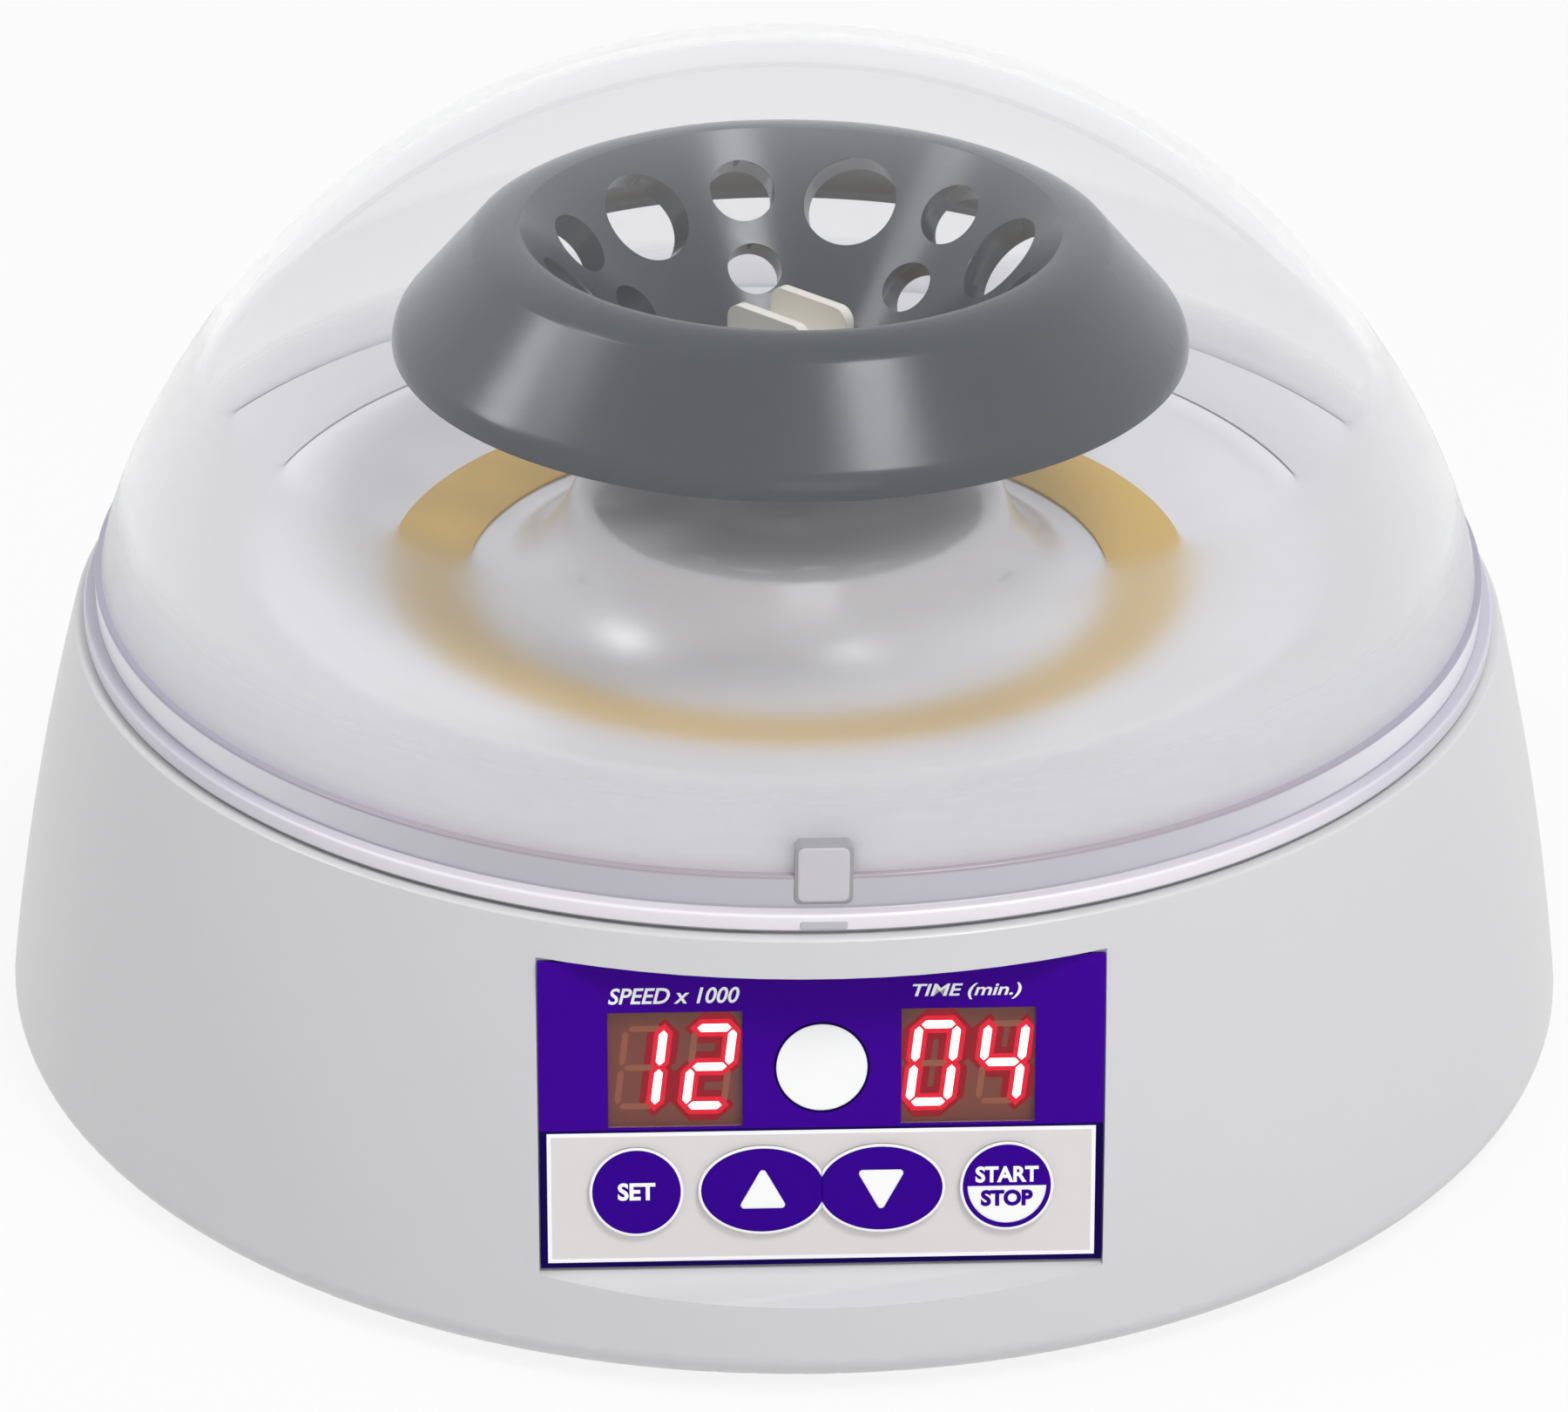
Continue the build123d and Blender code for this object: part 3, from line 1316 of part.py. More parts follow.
rocker_rise = rocker_l * tan(radians(rocker_tilt))
with BuildPart() as power_rocker:
    with BuildSketch(Plane.XY.offset(rear_mid_z - rocker_w / 2)):
        with Locations(Location((switch_x, pivot_y, 0), (0, 0, -rocker_tilt))):
            Circle(rocker_l / 2)
            Polygon(
                (-rocker_l, rocker_face + rocker_rise),
                (0, rocker_face),
                (rocker_l, rocker_face + rocker_rise),
                (rocker_l, -rocker_back),
                (-rocker_l, -rocker_back),
                align=None,
                mode=Mode.INTERSECT,
            )
    extrude(amount=rocker_w)
    with BuildSketch(Plane.XY.offset(rear_mid_z - hollow_w / 2 - rocker_pin_l)):
        with Locations((switch_x, pivot_y)):
            Circle(rocker_pin_r)
    extrude(amount=hollow_w + 2 * rocker_pin_l)

save(power_inlet.part, "power_inlet")
save(inlet_nut.part, "inlet_nut")
save(switch_frame.part, "switch_frame")
save(power_rocker.part, "power_rocker")
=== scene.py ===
import json
import math

import bmesh
import bpy
import numpy as np
from mathutils import Matrix, Vector

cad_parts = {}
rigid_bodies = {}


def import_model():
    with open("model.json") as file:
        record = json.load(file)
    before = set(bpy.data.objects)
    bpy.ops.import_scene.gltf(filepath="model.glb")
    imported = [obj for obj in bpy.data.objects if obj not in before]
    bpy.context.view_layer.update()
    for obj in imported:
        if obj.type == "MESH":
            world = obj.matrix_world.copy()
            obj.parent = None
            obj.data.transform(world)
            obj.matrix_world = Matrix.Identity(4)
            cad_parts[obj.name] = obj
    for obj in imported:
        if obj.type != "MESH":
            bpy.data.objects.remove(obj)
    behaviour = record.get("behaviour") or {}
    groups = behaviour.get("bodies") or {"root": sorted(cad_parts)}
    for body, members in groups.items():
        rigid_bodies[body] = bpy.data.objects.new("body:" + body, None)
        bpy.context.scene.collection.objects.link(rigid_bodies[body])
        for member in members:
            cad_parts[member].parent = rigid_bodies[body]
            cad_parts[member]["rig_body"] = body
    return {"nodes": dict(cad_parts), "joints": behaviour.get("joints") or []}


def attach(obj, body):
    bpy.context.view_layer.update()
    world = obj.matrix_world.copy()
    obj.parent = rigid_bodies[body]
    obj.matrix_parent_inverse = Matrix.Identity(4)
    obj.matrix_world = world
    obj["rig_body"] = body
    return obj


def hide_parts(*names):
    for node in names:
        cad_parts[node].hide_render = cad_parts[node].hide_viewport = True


bl_info = {
    "name": "Mini Centrifuge",
    "version": (1, 0, 0),
    "blender": (4, 5, 0),
    "location": "View3D > Sidebar > Centrifuge",
    "description": "Dresses the packed solids of a bench-top mini centrifuge and sets its stage",
    "category": "Object",
}

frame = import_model()
nodes = frame["nodes"]
joints = {joint["name"]: joint for joint in frame["joints"]}
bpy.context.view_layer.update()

MM = 0.001
SMOOTH_ANGLE = math.radians(38)
TURN_STEPS = 256          # points round a turned surface
DRIFT_LENGTH = 60         # millimetres over which a finish's colour drifts
PRINT_GLOSS = 0.04        # printed films mirror very little
DIM_MIRROR = (0.3, 0.3, 0.3, 1)
NEW_MERGE = 1e-7          # metres between points of a new mesh that are one
COPY_MERGE = 1e-6         # the same for a copy of a node's mesh
ON_WALL = 0.06            # millimetres from a turned wall within which a point lies on it
PAST_ENDS = 0.05          # the same past the wall's foot and top

# Lid, in millimetres from the table: the sizes of the solid that it stands for
LID_Z = 52.15
FLANGE_R = 84.2
FLANGE_TOP = 54.3
BAND_R = 82.7
DOME_Z = 58.3
DOME_R = 81.9
DOME_H = 58.5
DOME_RISE = 1.32
DOME_ROUND = 2.41
FLANGE_ROUND = 0.4
BAND_ROUND = 0.3
LUG_X = 17.0
LUG_W = 6.0
LUG_R = 3.4
PIN_R = 1.55
WEB_LOW_Y = 1.2           # lug's web from the hinge's axis, at its lower and upper ends
WEB_HIGH_Y = -1.0
CATCH_W = 6.3             # pad of the catch on the lid's front
CATCH_LOW = 54.9
CATCH_HIGH = 62.0
CATCH_IN = 76.0           # block behind the lid's wall, from the axis
CATCH_TOP = 57.6          # top of that block
TONGUE_Z = 46.3           # lower end of the tongue
TONGUE_W = 5.8
TONGUE_T = 2.0
HINGE_Y = joints["lid_hinge"]["pos_m"][1] / MM
HINGE_Z = joints["lid_hinge"]["pos_m"][2] / MM

# Base shell's outer wall and the rotor's two slopes, as (radius, height), in millimetres
SHELL_FOOT = (95.4, 1.5)
SHELL_TOP = (85.4, 51.9)
SHELL_BULGE = 0.97
CONE_FOOT = (14.5, 81.165)
CONE_TOP = (31.4, 99.0)
SKIRT_TOP = (37.2, 97.4)
SKIRT_FOOT = (45.4, 88.1)

# Control panel, in millimetres: its plane leans back by the angle of the keys' travel
PANEL_Y = -85.25
PANEL_Z = 28.5
KEY_AXIS = joints["key_set_press"]["axis"]
PANEL_LEAN = math.atan2(-KEY_AXIS[2], KEY_AXIS[1])
KEY_S = -7.0
KEY_PROUD = 0.5
KEY_R = 4.85
ARROW_X = 6.45
ARROW_RX = 6.75
ARROW_RY = 4.85
SET_X = -20.2
START_X = 20.2
SPEED_X = -15.9
TIME_X = 15.9
WINDOW_S = 6.9
DISC_S = 6.9
DISC_R = 4.95
MODULE_BACK = 1.1         # display modules' face, behind the panel's face
FIELD_S = -7.8            # middle of the printed field round the keys
FIELD_HALF_W = 29.9
FIELD_HALF_H = 7.5
FIELD_FRAME = 0.45
WORDS_S = 14.45           # foot of the words over the displays
CAP_THICK = 0.04          # printed caps on the keys, over their tops
RIM_LAP = 0.3             # white rims, past the keys' edges
LETTER_LIFT = 0.03
DIGIT_OFF = 3.75          # a digit's middle from the display's middle
DISPLAY_HALF_W = 7.2

# Rim's tones, front and sides, painted light and shade: pale flange highlight, step shade, band, dome-foot
# shade line
RIM_FRONT_LIGHT_AND_SHADE = (0xE9E5EA, 0xA6A4B0, 0xB9B7BF, 0xA298A1)
RIM_SIDE_LIGHT_AND_SHADE = (0xCBC9D4, 0x9794A6, 0xE0DFE6, 0x9B98A9)
RIM_FRONT_Y, RIM_SIDE_Y = -80, -45

# The photograph's view: 27.4 degrees down from 685 mm away, the object's front turned 2.9 degrees
CAMERA_AT = (-29.5, -593.0, 343.4)
CAMERA_DOWN, CAMERA_YAW, CAMERA_ROLL = 27.38, -2.85, 0.55
CAMERA_LENS, CAMERA_SENSOR = 126, 36    # millimetres
CAMERA_SHIFT = -3.5 / 1800    # share of the picture's width

# Light: the seen sky is white, the sky that lights is dimmer at the left than at the right
SEEN = ("Is Camera Ray", "Is Transmission Ray", "Is Glossy Ray")
FLOOR_WHITE = 0.87        # share of the floor that looks white
SKY_LEFT, SKY_RIGHT = 0.82, 1.34
UNLIT_GROUP = "kept_out_of_the_lamps"
REAR_GROUP = "lit_from_the_rear"
LAMP_AIM = 70             # height that the lamps look at, in millimetres
LAMP_AWAY = 1.0           # metres
# Lamps: the setting of their power, the way to them, their width in metres and their light's group
LAMPS = (
    ("left_lamp", (-0.69, 0.06, 0.72), 0.3, UNLIT_GROUP),
    ("rear_lamp", (-0.837, 0.163, 0.522), 0.2, REAR_GROUP),
    ("front_lamp", (0.12, -0.9, 0.42), 0.5, UNLIT_GROUP),
    ("right_lamp", (0.294, -0.405, 0.866), 0.3, UNLIT_GROUP),
)


def linear(hex_code):
    """A colour given as an sRGB hex value, as linear red, green and blue."""
    channels = [(hex_code >> shift & 255) / 255 for shift in (16, 8, 0)]
    return tuple(c / 12.92 if c <= 0.04045 else ((c + 0.055) / 1.055) ** 2.4 for c in channels)


def rgba(colour):
    """An sRGB hex value, or linear red, green and blue, with full alpha."""
    return (linear(colour) if isinstance(colour, int) else tuple(colour)) + (1,)


def add_node(material, kind, inputs=None, **fields):
    """Adds one node: fields are its own settings, inputs its sockets' values or what feeds them, which is a
    socket or a node's first output."""
    tree = material.node_tree
    made = tree.nodes.new(kind)
    for name, value in fields.items():
        setattr(made, name, value)
    for socket, value in (inputs or {}).items():
        feed = value.outputs[0] if isinstance(value, bpy.types.Node) else value
        if isinstance(feed, bpy.types.NodeSocket):
            tree.links.new(feed, made.inputs[socket])
        else:
            made.inputs[socket].default_value = value
    return made


def ray_is(material, *kinds):
    """1 for rays of any of the kinds, outputs of the Light Path node, and 0 for the rest."""
    path = add_node(material, "ShaderNodeLightPath").outputs
    share = path[kinds[0]]
    for kind in kinds[1:]:
        share = add_node(material, "ShaderNodeMath", {0: share, 1: path[kind]}, operation="MAXIMUM")
    return share


def new_material(name):
    """A material with an empty node tree."""
    material = bpy.data.materials.new(name)
    material.use_nodes = True
    material.node_tree.nodes.clear()
    return material


def finish_material(
    name, colour, roughness, grain, relief,
    drift=0.04, rough_drift=0.05, metallic=0.0, ior=1.5, gloss=0.5, stretch=(1, 1, 1), edge=0.25,
):
    """A solid finish: colour and roughness drift slowly, a fine relief of grain millimetres bends the light,
    and edges look rounded by edge millimetres, unless the mesh has its own rounding and edge is 0."""
    material = new_material(name)
    place = add_node(material, "ShaderNodeTexCoord").outputs["Object"]
    slow = add_node(
        material, "ShaderNodeTexNoise",
        {"Vector": place, "Scale": 1 / (DRIFT_LENGTH * MM), "Detail": 3.0, "Roughness": 0.55},
    )
    stretched = add_node(material, "ShaderNodeMapping", {"Vector": place, "Scale": stretch})
    fine = add_node(
        material, "ShaderNodeTexNoise",
        {"Vector": stretched, "Scale": 1 / (grain * MM), "Detail": 4.0, "Roughness": 0.6},
    )
    low = tuple(c * (1 - drift) for c in rgba(colour)[:3]) + (1,)
    high = tuple(min(1, c * (1 + drift)) for c in rgba(colour)[:3]) + (1,)
    tone = add_node(material, "ShaderNodeMix", {0: slow, 6: low, 7: high}, data_type="RGBA")
    rough = add_node(
        material, "ShaderNodeMapRange",
        {"Value": fine, "From Min": 0.3, "From Max": 0.7, "To Min": max(0.02, roughness - rough_drift),
         "To Max": roughness + rough_drift},
    )
    bend = {"Strength": 1.0, "Distance": relief * MM, "Height": fine}
    if edge:
        bend["Normal"] = add_node(material, "ShaderNodeBevel", {"Radius": edge * MM}, samples=4)
    shader = add_node(
        material, "ShaderNodeBsdfPrincipled",
        {"Metallic": metallic, "IOR": ior, "Specular IOR Level": gloss, "Base Color": tone.outputs[2],
         "Roughness": rough, "Normal": add_node(material, "ShaderNodeBump", bend)},
    )
    add_node(material, "ShaderNodeOutputMaterial", {"Surface": shader})
    return material


def grid_faces(rows, columns, wrap_rows, wrap_columns):
    """Quads that join each point of a grid to its neighbours, and round the ends where it wraps."""
    i, j = np.meshgrid(
        np.arange(rows if wrap_rows else rows - 1),
        np.arange(columns if wrap_columns else columns - 1),
        indexing="ij",
    )
    i_next = (i + 1) % rows
    j_next = (j + 1) % columns
    corners = [i * columns + j, i_next * columns + j, i_next * columns + j_next, i * columns + j_next]
    return np.stack(corners, axis=-1).reshape(-1, 4)


def join(parts):
    """Several (points, faces) pairs as one."""
    points = np.concatenate([part[0] for part in parts])
    starts = np.cumsum([0] + [len(part[0]) for part in parts[:-1]])
    faces = [face for part, start in zip(parts, starts) for face in (np.asarray(part[1]) + start).tolist()]
    return points, faces


def add_object(name, data):
    """An object of the data, in the scene."""
    made = bpy.data.objects.new(name, data)
    bpy.context.scene.collection.objects.link(made)
    return made


def smooth(mesh, gap, angle, outwards=False):
    """Merges points nearer than the gap, turns the faces outwards if asked to, and shades them smoothly
    where they meet under the angle."""
    work = bmesh.new()
    work.from_mesh(mesh)
    bmesh.ops.remove_doubles(work, verts=work.verts, dist=gap)
    if outwards:
        bmesh.ops.recalc_face_normals(work, faces=work.faces)
    work.to_mesh(mesh)
    work.free()
    mesh.shade_smooth()
    mesh.set_sharp_from_angle(angle=angle)


def piece(name, shape, material, body, replaces=()):
    """Puts (points in millimetres, faces) into a closed mesh, and lets it ride on its body."""
    points, faces = shape
    mesh = bpy.data.meshes.new(name)
    mesh.from_pydata((np.asarray(points, float) * MM).tolist(), [], np.asarray(faces).tolist())
    smooth(mesh, NEW_MERGE, SMOOTH_ANGLE, outwards=True)
    mesh.materials.append(material)
    made = add_object(name, mesh)
    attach(made, body)
    if replaces:
        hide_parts(*replaces)
    return made


def smooth_copy(name, node, material, angle=SMOOTH_ANGLE):
    """A copy of a node's mesh with its loose triangles merged, so that its curved faces shade smoothly."""
    source = nodes[node]
    mesh = source.data.copy()
    mesh.name = name
    smooth(mesh, COPY_MERGE, angle)
    mesh.materials.clear()
    mesh.materials.append(material)
    made = add_object(name, mesh)
    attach(made, source["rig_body"])
    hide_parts(node)
    return made


def wall_between(foot, top, bulge=0.0):
    """A turned wall: radius at a height, a straight line from foot to top plus a shallow parabola."""
    (foot_r, foot_z), (top_r, top_z) = foot, top

    def radius_and_slope(z):
        t = (z - foot_z) / (top_z - foot_z)
        radius = foot_r + (top_r - foot_r) * t + 4 * bulge * t * (1 - t)
        return radius, (top_r - foot_r + 4 * bulge * (1 - 2 * t)) / (top_z - foot_z)

    return radius_and_slope, foot_z, top_z


def turned_normals(mesh, wall, out=1):
    """Gives faces that lie on a turned wall its true normals: across the meridian, outwards or inwards."""
    radius_and_slope, low, high = wall
    points = np.empty(len(mesh.vertices) * 3)
    mesh.vertices.foreach_get("co", points)
    points = points.reshape(-1, 3) / MM
    radius, slope = radius_and_slope(points[:, 2])
    around = np.hypot(points[:, 0], points[:, 1])
    near = abs(around - radius) < ON_WALL
    near &= (points[:, 2] > low - PAST_ENDS) & (points[:, 2] < high + PAST_ENDS)
    normal = np.stack([points[:, 0] / (around + 1e-9), points[:, 1] / (around + 1e-9), -slope], axis=-1) * out
    normal /= np.linalg.norm(normal, axis=1)[:, None]
    corners = np.empty(len(mesh.loops), int)
    mesh.loops.foreach_get("vertex_index", corners)
    old = np.empty(len(mesh.loops) * 3)
    mesh.corner_normals.foreach_get("vector", old)
    starts = np.empty(len(mesh.polygons), int)
    mesh.polygons.foreach_get("loop_start", starts)
    totals = np.empty(len(mesh.polygons), int)
    mesh.polygons.foreach_get("loop_total", totals)
    whole = np.repeat(np.logical_and.reduceat(near[corners], starts), totals)
    new = np.where(whole[:, None], normal[corners], old.reshape(-1, 3))
    mesh.normals_split_custom_set(new.tolist())


def dress(material, *names):
    """Gives CAD nodes a finish."""
    for name in names:
        mesh = nodes[name].data
        mesh.materials.clear()
        mesh.materials.append(material)


def rounded_line(points, radii, steps=6):
    """A line of corners, each turned into an arc of its radius that is tangent to both its sides."""
    points = np.asarray(points, float)
    out = [points[:1]]
    for before, corner, after, radius in zip(points[:-2], points[1:-1], points[2:], radii[1:-1]):
        if radius == 0:
            out.append(corner[None])
            continue
        to_before = (before - corner) / np.linalg.norm(before - corner)
        to_after = (after - corner) / np.linalg.norm(after - corner)
        half = math.acos(np.clip(to_before @ to_after, -1, 1)) / 2
        middle = to_before + to_after
        centre = corner + middle / np.linalg.norm(middle) * radius / math.sin(half)
        start = corner + to_before * radius / math.tan(half) - centre
        end = corner + to_after * radius / math.tan(half) - centre
        turn = math.pi - 2 * half
        share = np.linspace(0, 1, steps)[:, None]
        arc = (np.sin((1 - share) * turn) * start + np.sin(share * turn) * end) / math.sin(turn)
        out.append(centre + arc)
    out.append(points[-1:])
    return np.concatenate(out)


def turned(profile, closed=False):
    """A profile of (radius, height) carried once round the z axis."""
    profile = np.asarray(profile, float)
    angle = np.linspace(0, 2 * math.pi, TURN_STEPS, endpoint=False)[:, None]
    radius, height = profile[None, :, 0], np.broadcast_to(profile[None, :, 1], (TURN_STEPS, len(profile)))
    points = np.stack([radius * np.cos(angle), radius * np.sin(angle), height], axis=-1)
    return points.reshape(-1, 3), grid_faces(TURN_STEPS, len(profile), True, closed)


def dome_curve(radius, foot, height, steps=72):
    """Radius falls as (1 - t^rise)^(1/round) while the height climbs with t, the sine of an even angle."""
    t = np.sin(np.linspace(0, math.pi / 2, steps))
    fall = np.clip(1 - t**DOME_RISE, 0, None) ** (1 / DOME_ROUND)
    return np.stack([radius * fall, foot + height * t], axis=-1)


def on_panel(points):
    """Points (x, up the slope, out of the face) of the panel's plane, in the object's frame."""
    points = np.asarray(points, float)
    x, up, out = points[..., 0], points[..., 1], points[..., 2]
    lean_sin, lean_cos = math.sin(PANEL_LEAN), math.cos(PANEL_LEAN)
    return np.stack(
        [x, PANEL_Y + up * lean_sin - out * lean_cos, PANEL_Z + up * lean_cos + out * lean_sin], axis=-1
    )


def outline_ellipse(centre, half_w, half_h, steps=96, start=0.0, sweep=2 * math.pi):
    """Points round an ellipse, or along a part of it."""
    ends = sweep < 2 * math.pi
    angle = start + np.linspace(0, sweep, steps, endpoint=ends)
    return np.stack([centre[0] + half_w * np.cos(angle), centre[1] + half_h * np.sin(angle)], axis=-1)


def outline_rounded(corners, radius, steps=8):
    """Points round a polygon whose corners are arcs of one radius."""
    corners = np.asarray(corners, float)
    middle = (corners[0] + corners[-1]) / 2
    line = np.concatenate([[middle], corners, [middle]])
    return rounded_line(line, [0] + [radius] * len(corners) + [0], steps)[:-1]


def stacked(rings, closed=False):
    """Outlines of equally many points, each at its own height, joined one to the next."""
    points = np.stack(
        [np.concatenate([ring, np.full((len(ring), 1), height)], axis=1) for ring, height in rings]
    )
    return points.reshape(-1, 3), grid_faces(len(rings), points.shape[1], closed, True)


def plate(outline, low, high):
    """A thin plate: its outline at two heights, closed by fans from the middle."""
    outline = np.asarray(outline, float)
    middle = np.broadcast_to(outline.mean(0), outline.shape)
    return stacked([(middle, high), (outline, high), (outline, low), (middle, low)])


def ring_plate(outer, inner, low, high):
    """A flat ring between two outlines that have the same number of points."""
    return stacked([(outer, high), (outer, low), (inner, low), (inner, high)], closed=True)


def placed(shape):
    """A shape drawn in the panel's plane, in the object's frame."""
    return on_panel(shape[0]), shape[1]


def words(text, width, height, bold, slant):
    """Lettering as a mesh, fitted to a width and height in millimetres, its lower left corner at (0, 0)."""
    curve = bpy.data.curves.new("lettering", "FONT")
    curve.body = text
    curve.size = 1.0
    curve.offset = bold
    curve.shear = slant
    curve.resolution_u = 4
    holder = add_object("lettering", curve)
    bpy.context.view_layer.update()
    mesh = bpy.data.meshes.new_from_object(holder)
    points = np.zeros(len(mesh.vertices) * 3)
    mesh.vertices.foreach_get("co", points)
    points = points.reshape(-1, 3)
    flat = [list(polygon.vertices) for polygon in mesh.polygons]
    bpy.data.objects.remove(holder)
    bpy.data.curves.remove(curve)
    bpy.data.meshes.remove(mesh)
    low, high = points.min(0), points.max(0)
    size = high - low
    points = (points - low) * [width / size[0], height / size[1], 0]
    return points + [0, 0, LETTER_LIFT], flat


def flat_piece(name, shape, material, body):
    """Flat faces that lie on the object and point out of the panel, with no thickness of their own."""
    points, faces = shape
    mesh = bpy.data.meshes.new(name)
    mesh.from_pydata((points * MM).tolist(), [], faces)
    mesh.materials.append(material)
    made = add_object(name, mesh)
    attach(made, body)
    return made


# Settings that a user would change

def colour_setting(name, description, hex_code):
    """A colour that starts from an sRGB hex value."""
    return bpy.props.FloatVectorProperty(
        name=name, description=description, subtype="COLOR", size=3, min=0, max=1, default=linear(hex_code))


def setting(name, description, low, high, default, **kind):
    """A number with its range and its default."""
    return bpy.props.FloatProperty(
        name=name, description=description, min=low, max=high, default=default, **kind)


class ShellSettings(bpy.types.PropertyGroup):
    colour: colour_setting("Shell colour", "Colour of the moulded base shell", 0xCCCCCE)
    roughness: setting("Shell roughness", "How soft the shell's gloss is", 0, 1, 0.3, subtype="FACTOR")


class LidSettings(bpy.types.PropertyGroup):
    wall: setting("Wall", "Thickness of the lid's wall", 0.0005, 0.004, 2 * MM, unit="LENGTH")
    haze: setting("Haze", "Share of light that the frosted lower wall scatters", 0, 1, 0.1, subtype="FACTOR")
    frost_height: setting(
        "Frost height", "Below this height the lid's wall is finely frosted",
        0, 0.12, 83.6 * MM, unit="LENGTH")


class PanelSettings(bpy.types.PropertyGroup):
    film: colour_setting("Film colour", "Colour of the panel's printed film", 0x3E0094)
    field: colour_setting("Field colour", "Colour of the field round the keys", 0xDDD8D8)
    letter_height: setting(
        "Letter height", "Height of the words over the displays",
        0.0005, 0.005, 1.85 * MM, unit="LENGTH")


class DisplaySettings(bpy.types.PropertyGroup):
    digit_height: setting(
        "Digit height", "Height of a digit between its outer bars' middles",
        0.004, 0.012, 8.9 * MM, unit="LENGTH")
    digit_width: setting(
        "Digit width", "Width of a digit between its upright bars' middles",
        0.002, 0.008, 4.1 * MM, unit="LENGTH")
    slant: setting("Slant", "Lean of the digits", 0, 0.5, math.radians(7), subtype="ANGLE")


class StageSettings(bpy.types.PropertyGroup):
    floor_size: setting("Floor size", "Width of the pale floor", 1, 20, 8, unit="LENGTH")
    sky: setting("Sky", "Strength of the light from all round, a little brighter at the right", 0, 2, 0.62)
    left_lamp: setting("Left lamp", "Power of the soft lamp at the upper left", 0, 50, 1.7, unit="POWER")
    rear_lamp: setting(
        "Rear lamp", "Power of the lamp at the rear left, which only draws the rotor's left highlight",
        0, 50, 1.4, unit="POWER")
    front_lamp: setting(
        "Front lamp", "Power of the wide lamp low at the front, which lights under the rotor",
        0, 50, 0.7, unit="POWER")
    right_lamp: setting("Right lamp", "Power of the soft lamp over the front", 0, 50, 4.4, unit="POWER")


def by_height(material, height, steps):
    """A colour ramp over the height: steps are (millimetres from the table, grey level or sRGB hex)."""
    low, high = steps[0][0], steps[-1][0]
    share = add_node(
        material, "ShaderNodeMapRange", {"Value": height, "From Min": low * MM, "From Max": high * MM}
    )
    made = add_node(material, "ShaderNodeValToRGB", {0: share})
    ramp = made.color_ramp
    ramp.elements.remove(ramp.elements[1])
    for z, tone in steps:
        spot = (z - low) / (high - low)
        element = ramp.elements[0] if spot == 0 else ramp.elements.new(spot)
        element.color = rgba(tone if isinstance(tone, int) else (tone,) * 3)
    return made


def lid_material(settings):
    """Polycarbonate, moulded clear: slightly grey, finely frosted low down, milky where it meets the rim."""
    material = new_material("moulded_clear_polycarbonate")
    place = add_node(material, "ShaderNodeTexCoord").outputs["Object"]
    height = add_node(material, "ShaderNodeSeparateXYZ", {0: place}).outputs["Z"]
    edge = settings.frost_height / MM
    frost_end, clear_start = edge - 1.2, edge + 1.0
    frost = by_height(material, height, ((DOME_Z, 0.2), (frost_end, 0.2), (clear_start, 0.01)))
    tint = by_height(material, height, ((DOME_Z, 0xFFFFFF), (edge - 3.0, 0xFEFEFF), (edge + 12.0, 0xF7F7F9)))
    haze_share = by_height(
        material, height,
        ((DOME_Z, 0.85), (DOME_Z + 2.0, 0.8), (DOME_Z + 5.0, 0.45), (DOME_Z + 9.0, settings.haze),
         (frost_end, settings.haze), (clear_start, 0.03)),
    )
    clear = add_node(
        material, "ShaderNodeBsdfPrincipled",
        {"IOR": 1.5, "Transmission Weight": 1.0, "Specular Tint": DIM_MIRROR, "Base Color": tint,
         "Roughness": frost},
    )
    milk = add_node(material, "ShaderNodeBsdfTranslucent", {"Color": rgba(0xF8F8FB)})
    face = add_node(material, "ShaderNodeBsdfDiffuse", {"Color": rgba(0xF8F8FB)})
    haze = add_node(material, "ShaderNodeMixShader", {0: 0.5, 1: milk, 2: face})
    body = add_node(material, "ShaderNodeMixShader", {0: haze_share, 1: clear, 2: haze})
    # Light that fills shadows or makes highlights passes straight through, so the inside is lit as it is
    # seen. A ray that has come through the wall counts as glossy too, and has to bend at its inner face
    free = add_node(material, "ShaderNodeBsdfTransparent", {"Color": rgba(0xFDFDFE)})
    through = ray_is(material, "Is Transmission Ray")
    mirrored = add_node(
        material, "ShaderNodeMath", {0: ray_is(material, "Is Glossy Ray"), 1: through}, operation="SUBTRACT"
    )
    lighting = ray_is(material, "Is Shadow Ray", "Is Diffuse Ray")
    passing = add_node(material, "ShaderNodeMath", {0: lighting, 1: mirrored}, operation="MAXIMUM")
    shader = add_node(material, "ShaderNodeMixShader", {0: passing, 1: body, 2: free})
    add_node(material, "ShaderNodeOutputMaterial", {"Surface": shader})
    return material


